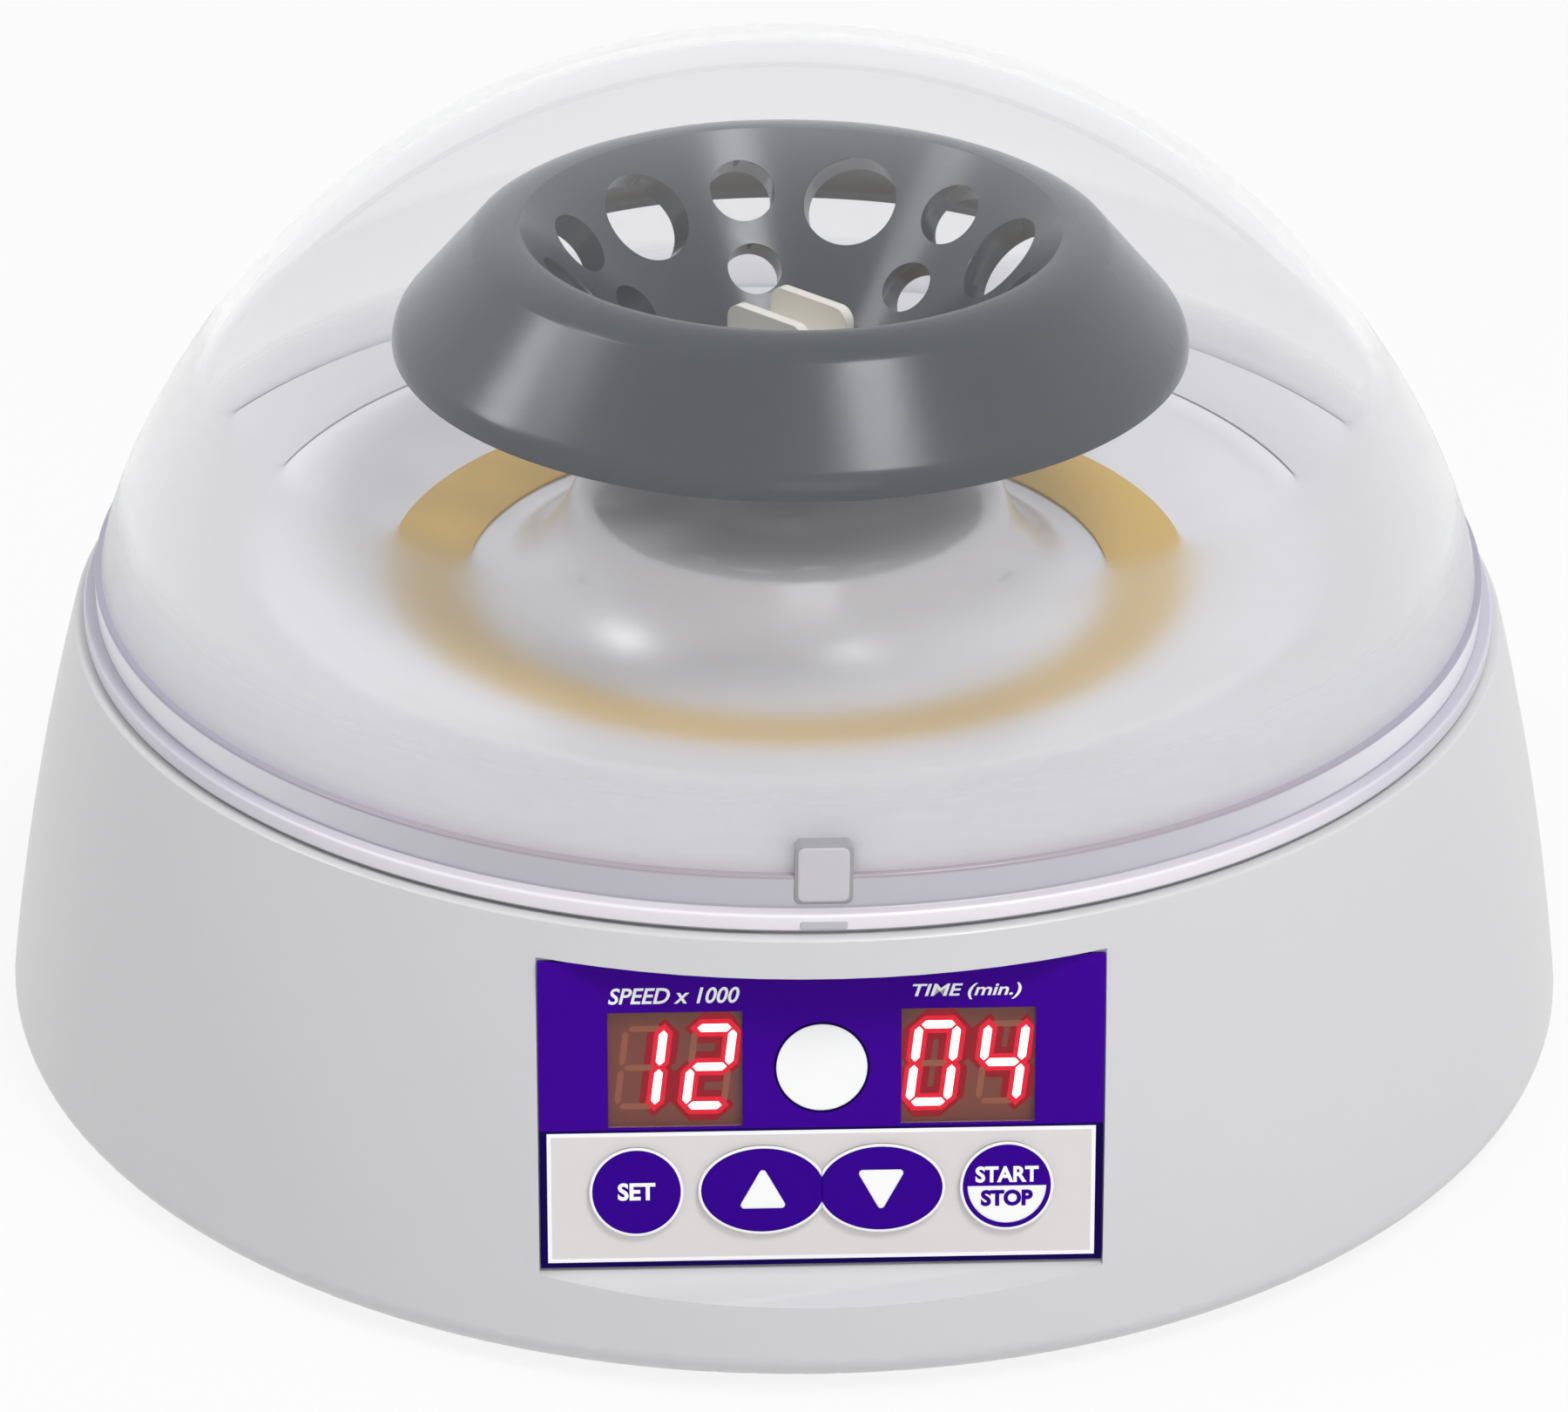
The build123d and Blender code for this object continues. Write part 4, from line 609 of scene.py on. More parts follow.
def rim_material():
    """Polycarbonate, moulded thick: milky lilac, with a flange painted pale at the front and painted shade
    lines.
    """
    material = new_material("moulded_milky_polycarbonate_rim")
    place = add_node(material, "ShaderNodeTexCoord").outputs["Object"]
    parts = add_node(material, "ShaderNodeSeparateXYZ", {0: place}).outputs
    # Painted light: the pale flange is a painted highlight; the dark lines at its foot, the step and under
    # the dome are painted shadow
    front, side = [
        by_height(
            material, parts["Z"],
            ((LID_Z, band), (LID_Z + 0.01, band), (LID_Z + 0.03, 0x77777C), (LID_Z + 0.3, 0x8A8990),
             (LID_Z + 0.45, flange), (FLANGE_TOP - 0.1, flange), (FLANGE_TOP + 0.15, step),
             (FLANGE_TOP + 0.5, band), (DOME_Z - 0.5, band), (DOME_Z - 0.25, line), (DOME_Z, line)),
        )
        for flange, step, band, line in (RIM_FRONT_LIGHT_AND_SHADE, RIM_SIDE_LIGHT_AND_SHADE)
    ]
    # Front and sides differ by painted shading, not by the plastic
    share = add_node(
        material, "ShaderNodeMapRange",
        {"Value": parts["Y"], "From Min": RIM_FRONT_Y * MM, "From Max": RIM_SIDE_Y * MM},
        interpolation_type="SMOOTHSTEP",
    )
    tones = add_node(material, "ShaderNodeMix", {0: share, 6: front, 7: side}, data_type="RGBA")
    milky = add_node(
        material, "ShaderNodeBsdfPrincipled",
        {"Roughness": 0.3, "IOR": 1.5, "Base Color": tones.outputs[2]},
    )
    add_node(material, "ShaderNodeOutputMaterial", {"Surface": milky})
    return material


def lid_pad(half_w, low, high, radius, corner=0.8):
    """A pad on the lid's front: a rounded rectangle of rings drawn in to its middle, bent to a radius."""
    outline = outline_rounded([(-half_w, low), (half_w, low), (half_w, high), (-half_w, high)], corner, 24)
    middle = np.array([0.0, (low + high) / 2])
    shares = np.concatenate([np.linspace(0.002, 0.97, 12), [1.0, 1.0]])
    radii = np.concatenate([np.full(12, radius), [radius - 0.06, radius - 1.9]])
    rings = middle + (outline - middle) * shares[:, None, None]
    x, z = rings[..., 0], rings[..., 1]
    points = np.stack([x, -np.sqrt(radii[:, None] ** 2 - x**2), z], axis=-1)
    return points.reshape(-1, 3), grid_faces(len(shares), len(outline), False, True)


def catch_block():
    """The catch's block and tongue: rounded rectangles stacked up the height, wide at the block."""
    front, back = DOME_R - 2.1, CATCH_IN
    rings = []
    for z, half, y_front, y_back, corner in (
        # height, half width, front, back and corner of each rectangle
        (TONGUE_Z, 0.01, back + TONGUE_T / 2 + 0.01, back + TONGUE_T / 2 - 0.01, 0.002),
        (TONGUE_Z, TONGUE_W / 2 - 0.5, back + TONGUE_T - 0.5, back + 0.5, 0.2),
        (TONGUE_Z + 0.5, TONGUE_W / 2, back + TONGUE_T, back, 0.2),
        (CATCH_LOW, TONGUE_W / 2, back + TONGUE_T, back, 0.2),
        (CATCH_LOW + 0.1, CATCH_W / 2 - 0.3, front, back, 0.5),
        (CATCH_TOP - 0.4, CATCH_W / 2 - 0.3, front, back, 0.5),
        (CATCH_TOP, CATCH_W / 2 - 0.7, front - 0.4, back + 0.4, 0.3),
        (CATCH_TOP, 0.01, (front + back) / 2 + 0.01, (front + back) / 2 - 0.01, 0.002),
    ):
        corners = [(-half, -y_front), (half, -y_front), (half, -y_back), (-half, -y_back)]
        rings.append((outline_rounded(corners, corner, 5), z))
    return stacked(rings)


def lug(x_middle):
    """A hinge lug: a ring round the pin, its outside the nearest of a circle and the web's straight sides."""
    angle = np.linspace(0, 2 * math.pi, 96, endpoint=False)
    way = np.stack([np.cos(angle), np.sin(angle)], axis=-1)
    web_low, web_high = LID_Z + 1.5 - HINGE_Z, DOME_Z - 0.6 - HINGE_Z
    neck = np.array(
        [(LUG_R, 0), (WEB_LOW_Y, web_low), (WEB_HIGH_Y, web_high), (-LUG_R, web_high), (-LUG_R, 0)]
    )
    side = np.roll(neck, -1, axis=0)[:-1] - neck[:-1]
    normal = np.stack([side[:, 1], -side[:, 0]], axis=-1)
    normal /= np.linalg.norm(normal, axis=1)[:, None]
    normal[(normal * neck[:-1]).sum(1) < 0] *= -1
    reach = (normal * neck[:-1]).sum(1)
    facing = way @ normal.T
    hit = np.where(facing > 1e-6, reach / np.where(facing > 1e-6, facing, 1), 1e3).min(1)
    outer_r = np.where(way[:, 1] < 0, LUG_R, hit)
    left, right = x_middle - LUG_W / 2, x_middle + LUG_W / 2
    inner_r = np.full_like(outer_r, PIN_R)
    loop = [(outer_r, left), (outer_r, right), (inner_r, right), (inner_r, left)]
    y, z = way.T
    points = np.stack(
        [np.stack([np.full_like(r, x), HINGE_Y + r * y, HINGE_Z + r * z], axis=-1) for r, x in loop]
    )
    return points.reshape(-1, 3), grid_faces(4, len(angle), True, True)


class CENTRIFUGE_OT_lid(bpy.types.Operator):
    """Clear dome with its rim band, flange and hinge lugs"""
    bl_idname = "centrifuge.lid"
    bl_label = "Lid"

    def execute(self, context):
        settings = context.scene.centrifuge_lid
        wall = settings.wall / MM
        rim = rounded_line(
            [(DOME_R - wall, DOME_Z), (BAND_R, DOME_Z), (BAND_R, FLANGE_TOP), (FLANGE_R, FLANGE_TOP),
             (FLANGE_R, LID_Z), (DOME_R - wall, LID_Z), (DOME_R - wall, DOME_Z)],
            [0, BAND_ROUND, 0.15, FLANGE_ROUND, FLANGE_ROUND, 0.15, 0],
        )[:-1]
        foot = DOME_Z - 0.15
        profile = np.concatenate([
            dome_curve(DOME_R, DOME_Z, DOME_H)[::-1],
            [(DOME_R, foot), (DOME_R - wall, foot)],
            dome_curve(DOME_R - wall, DOME_Z, DOME_H - wall),
        ])
        made = piece("lid_dome", turned(profile), lid_material(settings), "lid", ("lid",))
        below = join([turned(rim, closed=True), lug(-LUG_X), lug(LUG_X)])
        piece("lid_rim", below, rim_material(), "lid")
        # The lamps light what is inside the lid and draw no spots on the clear wall
        shaded = bpy.data.collections[UNLIT_GROUP]
        shaded.objects.link(made)
        shaded.collection_objects[0].light_linking.link_state = "EXCLUDE"
        # Polycarbonate, moulded milky: the catch's pad shows pale inside an edge painted darker, a painted
        # shade for the light its clear edge bends away
        edge = finish_material("moulded_catch_edge", 0x9A9A9F, 0.35, 0.6, 0.001, drift=0.02)
        pale = finish_material("moulded_catch_pad", 0xC8C5CA, 0.35, 0.6, 0.001, drift=0.02)
        half = CATCH_W / 2
        piece("catch_block", catch_block(), pale, "lid", ("latch_tongue",))
        piece("catch_edge", lid_pad(half, CATCH_LOW, CATCH_HIGH, BAND_R + 0.1), edge, "lid")
        pad = lid_pad(half - 0.38, CATCH_LOW + 0.3, CATCH_HIGH - 0.25, BAND_R + 0.2)
        piece("catch_pad", pad, pale, "lid")
        grey = finish_material("moulded_catch_foot", 0xBDBDC2, 0.35, 0.6, 0.01, drift=0.02)
        foot_pad = lid_pad(2.6, LID_Z + 0.4, LID_Z + 1.4, FLANGE_R + 0.04, 0.3)
        piece("catch_foot", foot_pad, grey, "lid")
        # Cold-rolled steel, bright zinc plated: a small grey plate
        striker = finish_material("plated_steel_striker", 0x9FA1A4, 0.35, 0.4, 0.01, metallic=1.0)
        dress(striker, "latch_striker")
        return {"FINISHED"}


class CENTRIFUGE_OT_shell(bpy.types.Operator):
    """Moulded base shell and the plate that closes it below"""
    bl_idname = "centrifuge.shell"
    bl_label = "Base shell"

    def execute(self, context):
        settings = context.scene.centrifuge_shell
        # ABS, injection moulded in a polished tool: even pale grey with a soft gloss and a faint ripple
        shell = finish_material(
            "polished_abs_shell", settings.colour, settings.roughness, 6.0, 0.002,
            drift=0.006, rough_drift=0.01, ior=1.53, edge=0,
        )
        skin = smooth_copy("base_shell", "upper_housing", shell, math.radians(14))
        turned_normals(skin.data, wall_between(SHELL_FOOT, SHELL_TOP, SHELL_BULGE))
        # ABS, moulded in an eroded tool: a fine even grain on the underside
        cover = finish_material("grained_abs_cover", 0xC9CACC, 0.5, 0.5, 0.05, drift=0.02, ior=1.53)
        dress(cover, "bottom_cover")
        # Nitrile rubber, moulded: dark and matt
        dress(
            finish_material("moulded_rubber_feet", 0x2A2A2C, 0.75, 0.35, 0.04, ior=1.5),
            "foot_front_left", "foot_front_right", "foot_rear_left", "foot_rear_right",
        )
        return {"FINISHED"}


class CENTRIFUGE_OT_chamber(bpy.types.Operator):
    """Bowl under the rotor and the flat ring on its floor"""
    bl_idname = "centrifuge.chamber"
    bl_label = "Chamber"

    def execute(self, context):
        # ABS, moulded in a polished tool: grey with a clean gloss
        bowl = finish_material("polished_abs_bowl", 0xE4E4E7, 0.19, 4.0, 0.0005, drift=0.02, ior=2.0, edge=0)
        smooth_copy("bowl_skin", "chamber_bowl", bowl)
        # Polyester film, printed on its back: plain warm yellow under a satin face
        dress(finish_material("printed_film_ring", 0xD8B152, 0.35, 0.6, 0.01, drift=0.05), "chamber_ring")
        return {"FINISHED"}


class CENTRIFUGE_OT_rotor(bpy.types.Operator):
    """Rotor with its tube holes, the knob with two grips and the drive under it"""
    bl_idname = "centrifuge.rotor"
    bl_label = "Rotor"

    def execute(self, context):
        # Polypropylene, moulded in a polished tool: mid grey, satin and smooth
        grey = finish_material(
            "moulded_polypropylene_rotor", 0x3A3E43, 0.22, 1.2, 0.0001,
            drift=0.03, rough_drift=0.005, ior=1.37, edge=0,
        )
        moulding = smooth_copy("rotor_moulding", "rotor", grey)
        turned_normals(moulding.data, wall_between(CONE_FOOT, CONE_TOP), -1)
        turned_normals(moulding.data, wall_between(SKIRT_FOOT, SKIRT_TOP))
        # The rear lamp lights the rotor alone
        bpy.data.collections[REAR_GROUP].objects.link(moulding)
        # Acetal, turned: ivory, smooth and slightly waxy
        dress(finish_material("turned_acetal_knob", 0xE6E2D6, 0.4, 0.8, 0.01, drift=0.02), "rotor_knob")
        # Aluminium alloy, turned: pale metal with fine rings
        hub = finish_material(
            "turned_aluminium_hub", 0xC8C9CB, 0.28, 0.25, 0.01, metallic=1.0, stretch=(1, 1, 8)
        )
        dress(hub, "drive_hub")
        # Bearing steel, ground: bright, with a fine lengthwise blur
        steel = finish_material("ground_steel_shaft", 0xB4B5B8, 0.18, 0.2, 0.005, metallic=1.0)
        dress(steel, "motor_shaft", "hinge_pin")
        return {"FINISHED"}


def panel_material(settings):
    """Polyester film, screen printed on its back: violet, with a pale framed field and a dark blue border."""
    material = new_material("printed_polyester_panel")
    place = add_node(material, "ShaderNodeTexCoord").outputs["Object"]
    parts = add_node(material, "ShaderNodeSeparateXYZ", {0: place}).outputs
    # Up the slope from the panel's middle, in metres: the height divided by the lean's cosine
    steep = 1 / math.cos(PANEL_LEAN)
    up = add_node(
        material, "ShaderNodeMath", {0: parts["Z"], 1: steep, 2: -PANEL_Z * MM * steep},
        operation="MULTIPLY_ADD",
    )
    # Distance outside the field's rectangle, the larger of the two ways
    over = []
    for way, middle, half in ((parts["X"], 0.0, FIELD_HALF_W), (up, FIELD_S, FIELD_HALF_H)):
        off = add_node(material, "ShaderNodeMath", {0: way, 1: middle * MM}, operation="SUBTRACT")
        off = add_node(material, "ShaderNodeMath", {0: off}, operation="ABSOLUTE")
        over.append(add_node(material, "ShaderNodeMath", {0: off, 1: half * MM}, operation="SUBTRACT"))
    outside = add_node(material, "ShaderNodeMath", dict(enumerate(over)), operation="MAXIMUM")
    cloud = add_node(
        material, "ShaderNodeTexNoise", {"Vector": place, "Scale": 1 / (25 * MM), "Detail": 2.0}
    )
    film, deep = rgba(settings.film), rgba([c * 0.9 for c in settings.film])
    tone = add_node(material, "ShaderNodeMix", {0: cloud, 6: film, 7: deep}, data_type="RGBA")
    # Printed over it one by one: the lower half's dark blue border, the field's pale frame and the field
    for distance, edge, colour in (
        (up, 0.0, rgba(0x12004E)),
        (outside, 0.0, rgba(0xF8F7FA)),
        (outside, -FIELD_FRAME, rgba(settings.field)),
    ):
        inside = add_node(material, "ShaderNodeMath", {0: distance, 1: edge * MM}, operation="LESS_THAN")
        tone = add_node(
            material, "ShaderNodeMix", {0: inside, 6: tone.outputs[2], 7: colour}, data_type="RGBA"
        )
    grain = add_node(
        material, "ShaderNodeTexNoise", {"Vector": place, "Scale": 1 / (0.3 * MM), "Detail": 2.0}
    )
    bump = add_node(material, "ShaderNodeBump", {"Strength": 1.0, "Distance": 0.004 * MM, "Height": grain})
    shader = add_node(
        material, "ShaderNodeBsdfPrincipled",
        {"Roughness": 0.4, "IOR": 1.55, "Specular IOR Level": PRINT_GLOSS, "Base Color": tone.outputs[2],
         "Normal": bump},
    )
    add_node(material, "ShaderNodeOutputMaterial", {"Surface": shader})
    return material


class CENTRIFUGE_OT_panel(bpy.types.Operator):
    """Printed control panel, its plain disc and the words over the displays"""
    bl_idname = "centrifuge.panel"
    bl_label = "Control panel"

    def execute(self, context):
        settings = context.scene.centrifuge_panel
        dress(panel_material(settings), "control_panel")
        # Polyester film, printed white: even and satin
        white = finish_material("printed_white_film", 0xF7F8F7, 0.4, 0.4, 0.004, drift=0.01)
        dress(white, "panel_disc")
        navy = finish_material("printed_navy_edge", 0x14004E, 0.4, 0.4, 0.004, drift=0.03, gloss=PRINT_GLOSS)
        outer, inner = [outline_ellipse((0, DISC_S), radius, radius) for radius in (DISC_R + 0.26, DISC_R)]
        piece("disc_edge", placed(ring_plate(outer, inner, -0.1, 0.02)), navy, "base")
        height = settings.letter_height / MM
        for name, text, left, width in (
            ("speed_words", "SPEED x 1000", -23.1, 14.2),
            ("time_words", "TIME (min.)", 9.8, 11.8),
        ):
            points, faces = words(text, width, height, 0.018, 0.25)
            flat_piece(name, (on_panel(points + [left, WORDS_S, 0]), faces), white, "base")
        return {"FINISHED"}


SEGMENT_ENDS = {          # seven bars of a digit, in shares of its width and height
    "a": ((0, 1), (1, 1)),
    "b": ((1, 1), (1, 0.5)),
    "c": ((1, 0.5), (1, 0)),
    "d": ((0, 0), (1, 0)),
    "e": ((0, 0.5), (0, 0)),
    "f": ((0, 1), (0, 0.5)),
    "g": ((0, 0.5), (1, 0.5)),
}
DIGIT_BARS = {"0": "abcdef", "1": "bc", "2": "abged", "4": "fgbc"}
# Layers of a bar: kind, half width, gap short of the bar's ends and height over the module, in millimetres
# The halo and spill layers are painted glow: red plates that shine on the module round a lit bar
LIT_BARS = (("halo", 1.75, -1.2, 0.012), ("spill", 1.0, -0.6, 0.024), ("core", 0.46, 0.2, 0.04))
# Unlit bars glow faintly, a painted light that lets them show on the dark module
UNLIT_BARS = (("unlit", 0.34, 0.25, 0.018),)
# Face, light and the light's strength: the cores burn out to a pinkish white, their edges spill red in
# painted glow, and unlit bars shine faintly, a painted light
BAR_LIGHTS = {
    "core": (0xFFF4F2, 0xFFF4F2, 1.1),
    "spill": (0x30000A, 0xE80A32, 0.95),
    "halo": (0x30000A, 0xB4001E, 0.55),
    "unlit": (0x8A5A48, 0x8A5A48, 0.12),
}


def bar(start, end, half, gap, slant):
    """One bar: a six-sided strip with pointed ends, a gap short of both, leaning by the digit's slant."""
    start, end = np.asarray(start, float), np.asarray(end, float)
    way = (end - start) / np.linalg.norm(end - start)
    across = np.array([-way[1], way[0]])
    a, b = start + way * gap, end - way * gap
    line = np.array([
        a, a + way * half + across * half, b - way * half + across * half,
        b, b - way * half - across * half, a + way * half - across * half,
    ])
    line[:, 0] += line[:, 1] * math.tan(slant)
    return line


def window_material():
    """Acrylic sheet, clear: a thin window with a clean face."""
    material = new_material("clear_acrylic_window")
    clear = add_node(
        material, "ShaderNodeBsdfPrincipled",
        {"Base Color": rgba(0xFFF6F4), "Roughness": 0.03, "IOR": 1.49, "Transmission Weight": 1.0,
         "Specular Tint": DIM_MIRROR},
    )
    free = add_node(material, "ShaderNodeBsdfTransparent", {"Color": rgba(0xFFF6F4)})
    passing = ray_is(material, "Is Shadow Ray", "Is Diffuse Ray")
    shader = add_node(material, "ShaderNodeMixShader", {0: passing, 1: clear, 2: free})
    add_node(material, "ShaderNodeOutputMaterial", {"Surface": shader})
    return material


def bar_material(name, face, light, strength):
    """Epoxy over red chips: a soft face, lit from within; on the halo, spill and unlit bars that light is
    painted glow.
    """
    material = new_material(f"lit_epoxy_{name}")
    shader = add_node(
        material, "ShaderNodeBsdfPrincipled",
        {"Base Color": rgba(face), "Roughness": 0.5, "Specular IOR Level": 0.1,
         "Emission Color": rgba(light), "Emission Strength": strength},
    )
    add_node(material, "ShaderNodeOutputMaterial", {"Surface": shader})
    return material


class CENTRIFUGE_OT_displays(bpy.types.Operator):
    """Two-digit displays behind their windows, lit and unlit bars"""
    bl_idname = "centrifuge.displays"
    bl_label = "Displays"

    def execute(self, context):
        settings = context.scene.centrifuge_displays
        # Epoxy-filled reflector of an LED module: dark brown, nearly matt
        module = finish_material("epoxy_display_face", 0x6E3A2C, 0.5, 0.5, 0.01, drift=0.08)
        dress(module, "speed_display", "time_display")
        dress(window_material(), "speed_window", "time_window")
        glows = {name: bar_material(name, *look) for name, look in BAR_LIGHTS.items()}
        high, wide = settings.digit_height / MM, settings.digit_width / MM
        for name, text, middle in (("speed", "12", SPEED_X), ("time", "04", TIME_X)):
            shapes = {kind: [] for kind in BAR_LIGHTS}
            for digit, offset in zip(text, (-DIGIT_OFF, DIGIT_OFF)):
                for key, ends in SEGMENT_ENDS.items():
                    start, end = (np.array(ends) - 0.5) * [wide, high]
                    for kind, half, gap, lift in LIT_BARS if key in DIGIT_BARS[digit] else UNLIT_BARS:
                        line = bar(start, end, half, gap, settings.slant) + [middle + offset, WINDOW_S]
                        line[:, 0] = np.clip(line[:, 0], middle - DISPLAY_HALF_W, middle + DISPLAY_HALF_W)
                        shapes[kind].append(plate(line, -MODULE_BACK + 0.005, -MODULE_BACK + lift))
            for kind, list_of in shapes.items():
                piece(f"{name}_{kind}_bars", placed(join(list_of)), glows[kind], "base")
        return {"FINISHED"}


class CENTRIFUGE_OT_keys(bpy.types.Operator):
    """Four keys: white rims, violet caps and their marks"""
    bl_idname = "centrifuge.keys"
    bl_label = "Keys"

    def execute(self, context):
        # ABS, moulded: the keys' white bodies
        bodies = finish_material("moulded_abs_keys", 0xF2F2F4, 0.35, 0.6, 0.01, drift=0.01)
        dress(bodies, "set_key", "up_key", "down_key", "start_stop_key")
        # Polyester film, printed violet and white: flat caps on the keys
        violet = finish_material(
            "printed_violet_cap", 0x34008C, 0.4, 0.4, 0.004, drift=0.05, gloss=PRINT_GLOSS
        )
        white = finish_material("printed_white_mark", 0xF7F8F7, 0.4, 0.4, 0.004, drift=0.01)
        top = KEY_PROUD
        face = top + CAP_THICK
        for name, x, half_w, half_h, steps in (
            ("set", SET_X, KEY_R, KEY_R, 96), ("start_stop", START_X, KEY_R, KEY_R, 96),
            ("up", -ARROW_X, ARROW_RX, ARROW_RY, 192), ("down", ARROW_X, ARROW_RX, ARROW_RY, 192),
        ):
            side = math.copysign(1, x)
            for part, grow, low, high, material, slot in (
                ("rim", RIM_LAP, top - 0.06, top + 0.01, white, "disc_white"),
                ("cap", -0.03, top - 0.05, face, violet, "key_plum"),
            ):
                line = outline_ellipse((x, KEY_S), half_w + grow, half_h + grow, steps)
                # The two arrow keys' ellipses stop short of the line between them
                line[:, 0] = side * np.clip(side * line[:, 0], 0.02, None)
                piece(f"{name}_{part}", placed(plate(line, low, high)), material, f"key_{name}")
        marks = {
            "up": outline_rounded([(-ARROW_X - 2.7, -9.1), (-ARROW_X + 2.7, -9.1), (-ARROW_X, -4.25)], 0.4),
            "down": outline_rounded([(ARROW_X - 2.7, -4.85), (ARROW_X, -9.75), (ARROW_X + 2.7, -4.85)], 0.4),
        }
        for name, line in marks.items():
            arrow = placed(plate(line, face - 0.03, face + 0.03))
            piece(f"{name}_arrow", arrow, white, f"key_{name}")
        line = outline_ellipse((START_X, KEY_S + 0.05), KEY_R - 0.55, KEY_R - 0.55, 64, math.pi, math.pi)
        half = placed(plate(line, face - 0.03, face + 0.02))
        piece("stop_half", half, white, "key_start_stop")
        for name, text, left, low, width, height, bold, colour, body in (
            ("set_word", "SET", SET_X - 2.05, KEY_S - 0.95, 4.1, 2.05, 0.035, white, "key_set"),
            ("start_word", "START", START_X - 3.45, KEY_S + 0.45, 6.9, 1.9, 0.035, white, "key_start_stop"),
            ("stop_word", "STOP", START_X - 2.85, KEY_S - 2.3, 5.7, 1.9, 0.05, violet, "key_start_stop"),
        ):
            points, faces = words(text, width, height, bold, 0.0)
            flat_piece(name, (on_panel(points + [left, low, face + 0.02]), faces), colour, body)
        return {"FINISHED"}


class CENTRIFUGE_OT_rear(bpy.types.Operator):
    """Hinge, power socket and power switch at the rear"""
    bl_idname = "centrifuge.rear"
    bl_label = "Rear fittings"

    def execute(self, context):
        # Spring steel, stamped and zinc plated: satin grey metal
        bracket = finish_material("stamped_steel_bracket", 0xA9ABAE, 0.36, 0.5, 0.01, metallic=1.0)
        dress(bracket, "hinge_bracket")
        # Polyamide, moulded: black with a fine grain
        black = finish_material("moulded_polyamide_fittings", 0x1C1C1E, 0.45, 0.4, 0.03, drift=0.06)
        dress(black, "power_inlet", "inlet_nut", "switch_frame")
        rocker = finish_material("moulded_polyamide_rocker", 0x232326, 0.3, 0.5, 0.015, drift=0.05)
        dress(rocker, "power_rocker")
        return {"FINISHED"}


class CENTRIFUGE_OT_inside(bpy.types.Operator):
    """Motor, boards, switches and screws inside the base"""
    bl_idname = "centrifuge.inside"
    bl_label = "Inner pieces"

    def execute(self, context):
        # Machine screws, zinc plated: bright with a slight warm cast
        dress(
            finish_material("plated_machine_screws", 0xB9B8B2, 0.3, 0.3, 0.01, metallic=1.0),
            "housing_screws", "bowl_screws", "damper_screws", "motor_screws", "hinge_screws",
            "board_screws", "power_board_screws",
        )
        # Deep-drawn steel can, zinc plated: satin with drawing lines along its height
        can = finish_material("drawn_steel_motor", 0x9EA0A4, 0.38, 0.8, 0.01, metallic=1.0, stretch=(6, 6, 1))
        dress(can, "motor")
        # Aluminium sheet, rolled: satin with lengthwise lines
        sheet = finish_material(
            "rolled_aluminium_plate", 0xC2C3C5, 0.35, 0.5, 0.01, metallic=1.0, stretch=(1, 8, 8)
        )
        dress(sheet, "motor_plate")
        # Silicone rubber, moulded: soft dark grey
        dress(finish_material("moulded_silicone_dampers", 0x38383A, 0.7, 0.5, 0.02), "motor_dampers")
        # Glass-epoxy board under solder mask: green with the weave's faint relief
        mask = finish_material("masked_circuit_boards", 0x1E5B38, 0.35, 0.6, 0.02, drift=0.12)
        dress(mask, "control_board", "power_board")
        # Polyester, moulded: black switch bodies
        bodies = finish_material("moulded_switch_bodies", 0x202022, 0.5, 0.4, 0.02)
        dress(bodies, "key_switches", "lid_sensor")
        # Sintered ferrite: dark grey and dull
        dress(finish_material("sintered_ferrite_magnet", 0x3A3B3D, 0.6, 0.4, 0.02), "latch_magnet")
        return {"FINISHED"}


def floor_material():
    """Painted board, rolled: a pale floor that keeps a soft shadow and looks white to the camera."""
    material = new_material("painted_pale_floor")
    matt = add_node(material, "ShaderNodeBsdfDiffuse", {"Color": rgba(0xDEDEDE)})
    bright = add_node(material, "ShaderNodeEmission", {"Color": rgba(0xFFFFFF), "Strength": 1.0})
    white = add_node(
        material, "ShaderNodeMath", {0: ray_is(material, *SEEN), 1: FLOOR_WHITE}, operation="MULTIPLY"
    )
    shader = add_node(material, "ShaderNodeMixShader", {0: white, 1: matt, 2: bright})
    add_node(material, "ShaderNodeOutputMaterial", {"Surface": shader})
    return material


def even_sky(strength):
    """A sky that is white where it is seen, dimmer where it lights, and a little brighter at the right."""
    world = bpy.data.worlds.new("even_sky")
    world.use_nodes = True
    world.node_tree.nodes.clear()
    way = add_node(world, "ShaderNodeTexCoord").outputs["Generated"]
    across = add_node(world, "ShaderNodeSeparateXYZ", {0: way}).outputs["X"]
    light = add_node(
        world, "ShaderNodeMapRange",
        {"Value": across, "From Min": -1.0, "From Max": 1.0, "To Min": strength * SKY_LEFT,
         "To Max": strength * SKY_RIGHT},
    )
    shown = add_node(world, "ShaderNodeMix", {0: ray_is(world, *SEEN), 2: light, 3: 1.0})
    sky = add_node(world, "ShaderNodeBackground", {"Color": rgba(0xFFFFFF), "Strength": shown})
    add_node(world, "ShaderNodeOutputWorld", {"Surface": sky})
    return world


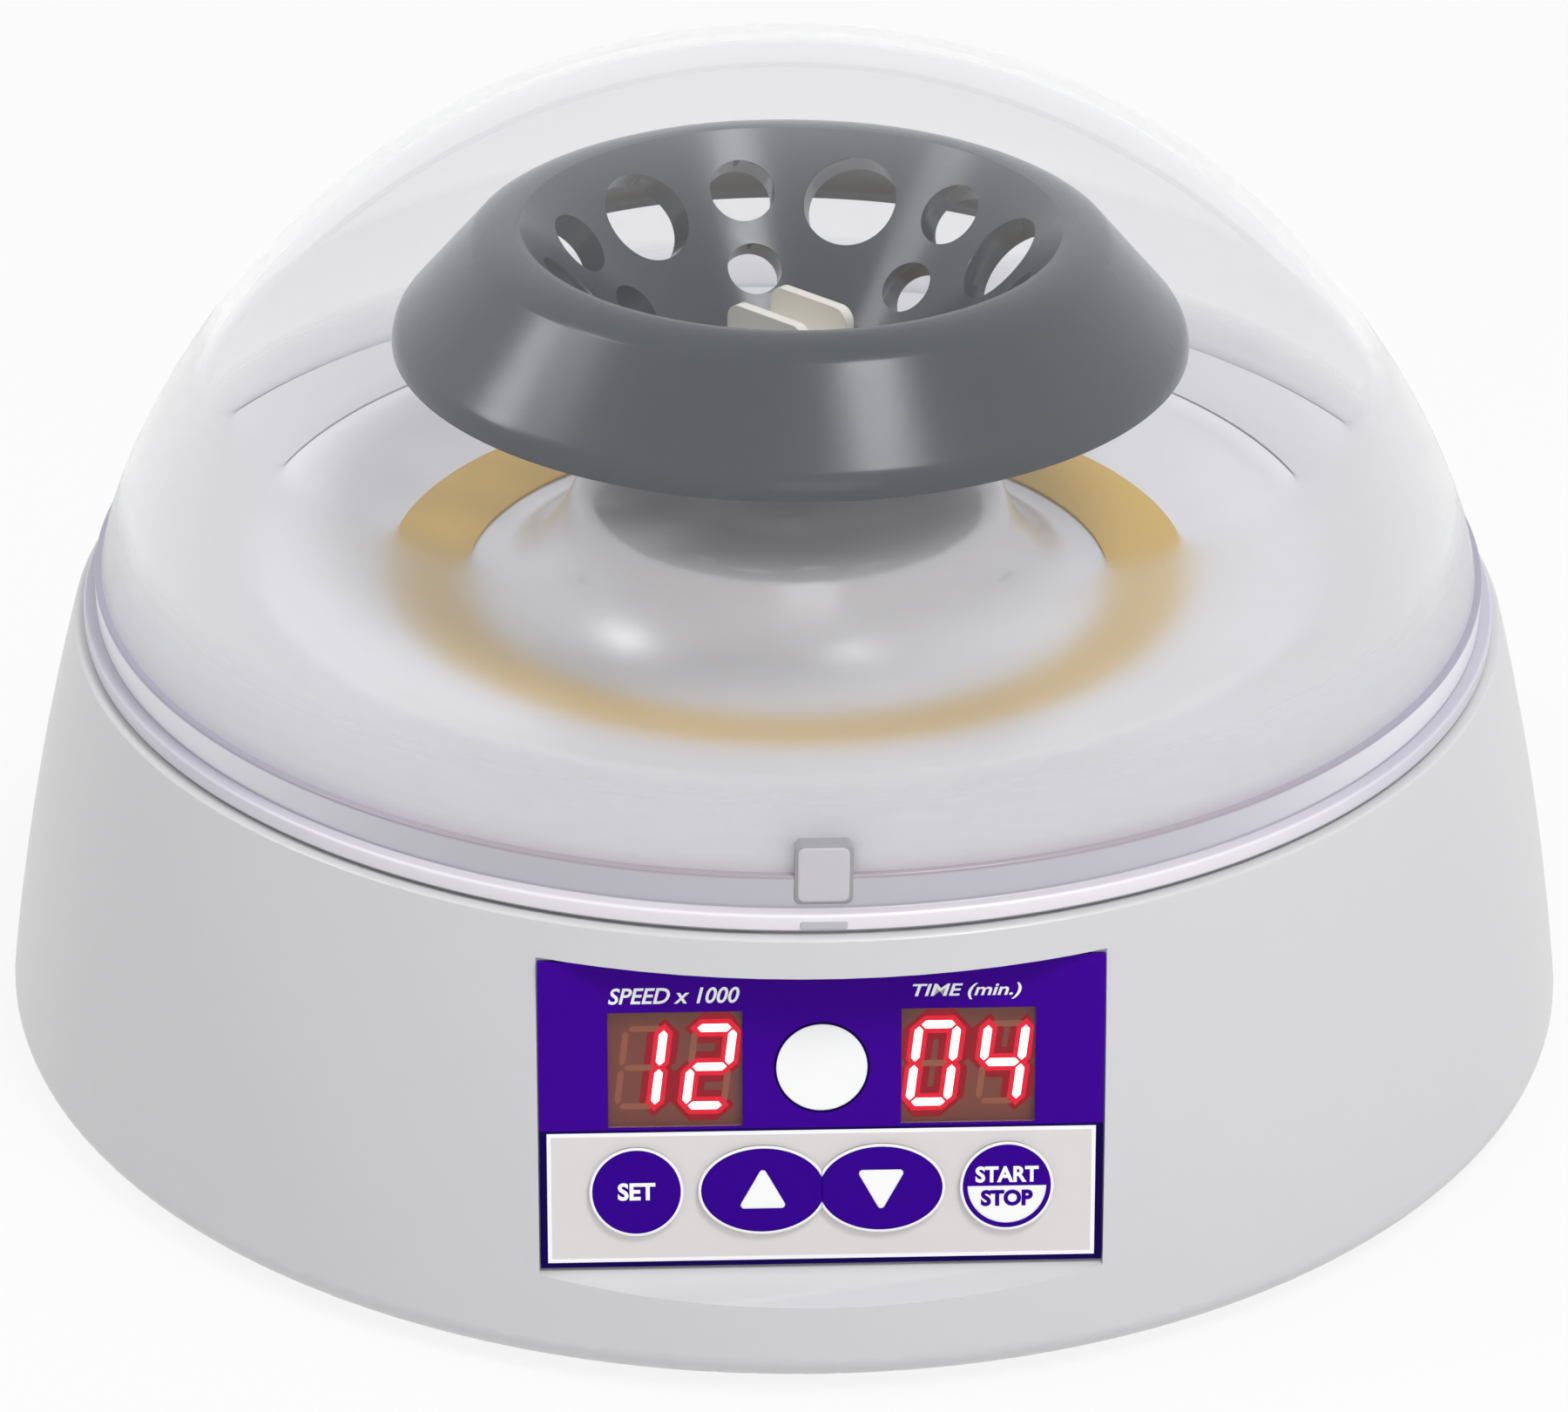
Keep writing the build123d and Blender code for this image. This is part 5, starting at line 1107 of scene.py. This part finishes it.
class CENTRIFUGE_OT_stage(bpy.types.Operator):
    """Camera, pale floor, four soft lamps and an even white sky"""
    bl_idname = "centrifuge.stage"
    bl_label = "Stage"

    def execute(self, context):
        settings = context.scene.centrifuge_stage
        scene = context.scene
        scene.view_settings.view_transform = "Standard"
        camera = add_object("camera", bpy.data.cameras.new("camera"))
        yaw, pitch, roll = [
            Matrix.Rotation(math.radians(angle), 4, axis)
            for angle, axis in ((CAMERA_YAW, "Z"), (90 - CAMERA_DOWN, "X"), (CAMERA_ROLL, "Z"))
        ]
        camera.matrix_world = Matrix.Translation(Vector(CAMERA_AT) * MM) @ yaw @ pitch @ roll
        camera.data.sensor_width = CAMERA_SENSOR
        camera.data.lens = CAMERA_LENS
        camera.data.shift_x = CAMERA_SHIFT
        camera.data.clip_start = 0.01
        scene.camera = camera
        half = settings.floor_size / 2
        mesh = bpy.data.meshes.new("floor")
        corners = [(-half, -half, 0), (half, -half, 0), (half, half, 0), (-half, half, 0)]
        mesh.from_pydata(corners, [], [(0, 1, 2, 3)])
        mesh.materials.append(floor_material())
        add_object("floor", mesh)
        scene.world = even_sky(settings.sky)
        target = Vector((0, 0, LAMP_AIM * MM))
        groups = {name: bpy.data.collections.new(name) for name in (UNLIT_GROUP, REAR_GROUP)}
        for name, way, size, group in LAMPS:
            lamp = add_object(name, bpy.data.lights.new(name, "AREA"))
            lamp.data.energy = getattr(settings, name)
            lamp.data.shape = "DISK"
            lamp.data.size = size
            lamp.light_linking.receiver_collection = groups[group]
            spot = target + Vector(way).normalized() * LAMP_AWAY
            aim = (target - spot).to_track_quat("-Z", "Y")
            lamp.matrix_world = Matrix.Translation(spot) @ aim.to_matrix().to_4x4()
        return {"FINISHED"}


STEPS = (
    CENTRIFUGE_OT_stage, CENTRIFUGE_OT_shell, CENTRIFUGE_OT_chamber, CENTRIFUGE_OT_rotor, CENTRIFUGE_OT_lid,
    CENTRIFUGE_OT_panel, CENTRIFUGE_OT_displays, CENTRIFUGE_OT_keys, CENTRIFUGE_OT_rear, CENTRIFUGE_OT_inside,
)
SETTINGS = {
    "centrifuge_stage": StageSettings,
    "centrifuge_shell": ShellSettings,
    "centrifuge_lid": LidSettings,
    "centrifuge_panel": PanelSettings,
    "centrifuge_displays": DisplaySettings,
}


class CENTRIFUGE_PT_panel(bpy.types.Panel):
    """Lists the pieces and their settings"""
    bl_idname = "CENTRIFUGE_PT_panel"
    bl_label = "Mini Centrifuge"
    bl_space_type = "VIEW_3D"
    bl_region_type = "UI"
    bl_category = "Centrifuge"

    def draw(self, context):
        for name, group in SETTINGS.items():
            for field in group.__annotations__:
                self.layout.prop(getattr(context.scene, name), field)
        for step in STEPS:
            self.layout.operator(step.bl_idname)


def register():
    for name, group in SETTINGS.items():
        bpy.utils.register_class(group)
        setattr(bpy.types.Scene, name, bpy.props.PointerProperty(type=group))
    for step in STEPS + (CENTRIFUGE_PT_panel,):
        bpy.utils.register_class(step)


def unregister():
    for step in reversed(STEPS + (CENTRIFUGE_PT_panel,)):
        bpy.utils.unregister_class(step)
    for name, group in reversed(SETTINGS.items()):
        delattr(bpy.types.Scene, name)
        bpy.utils.unregister_class(group)


def main():
    register()
    for step in STEPS:
        area, action = step.bl_idname.split(".")
        getattr(getattr(bpy.ops, area), action)()


if __name__ == "__main__":
    main()
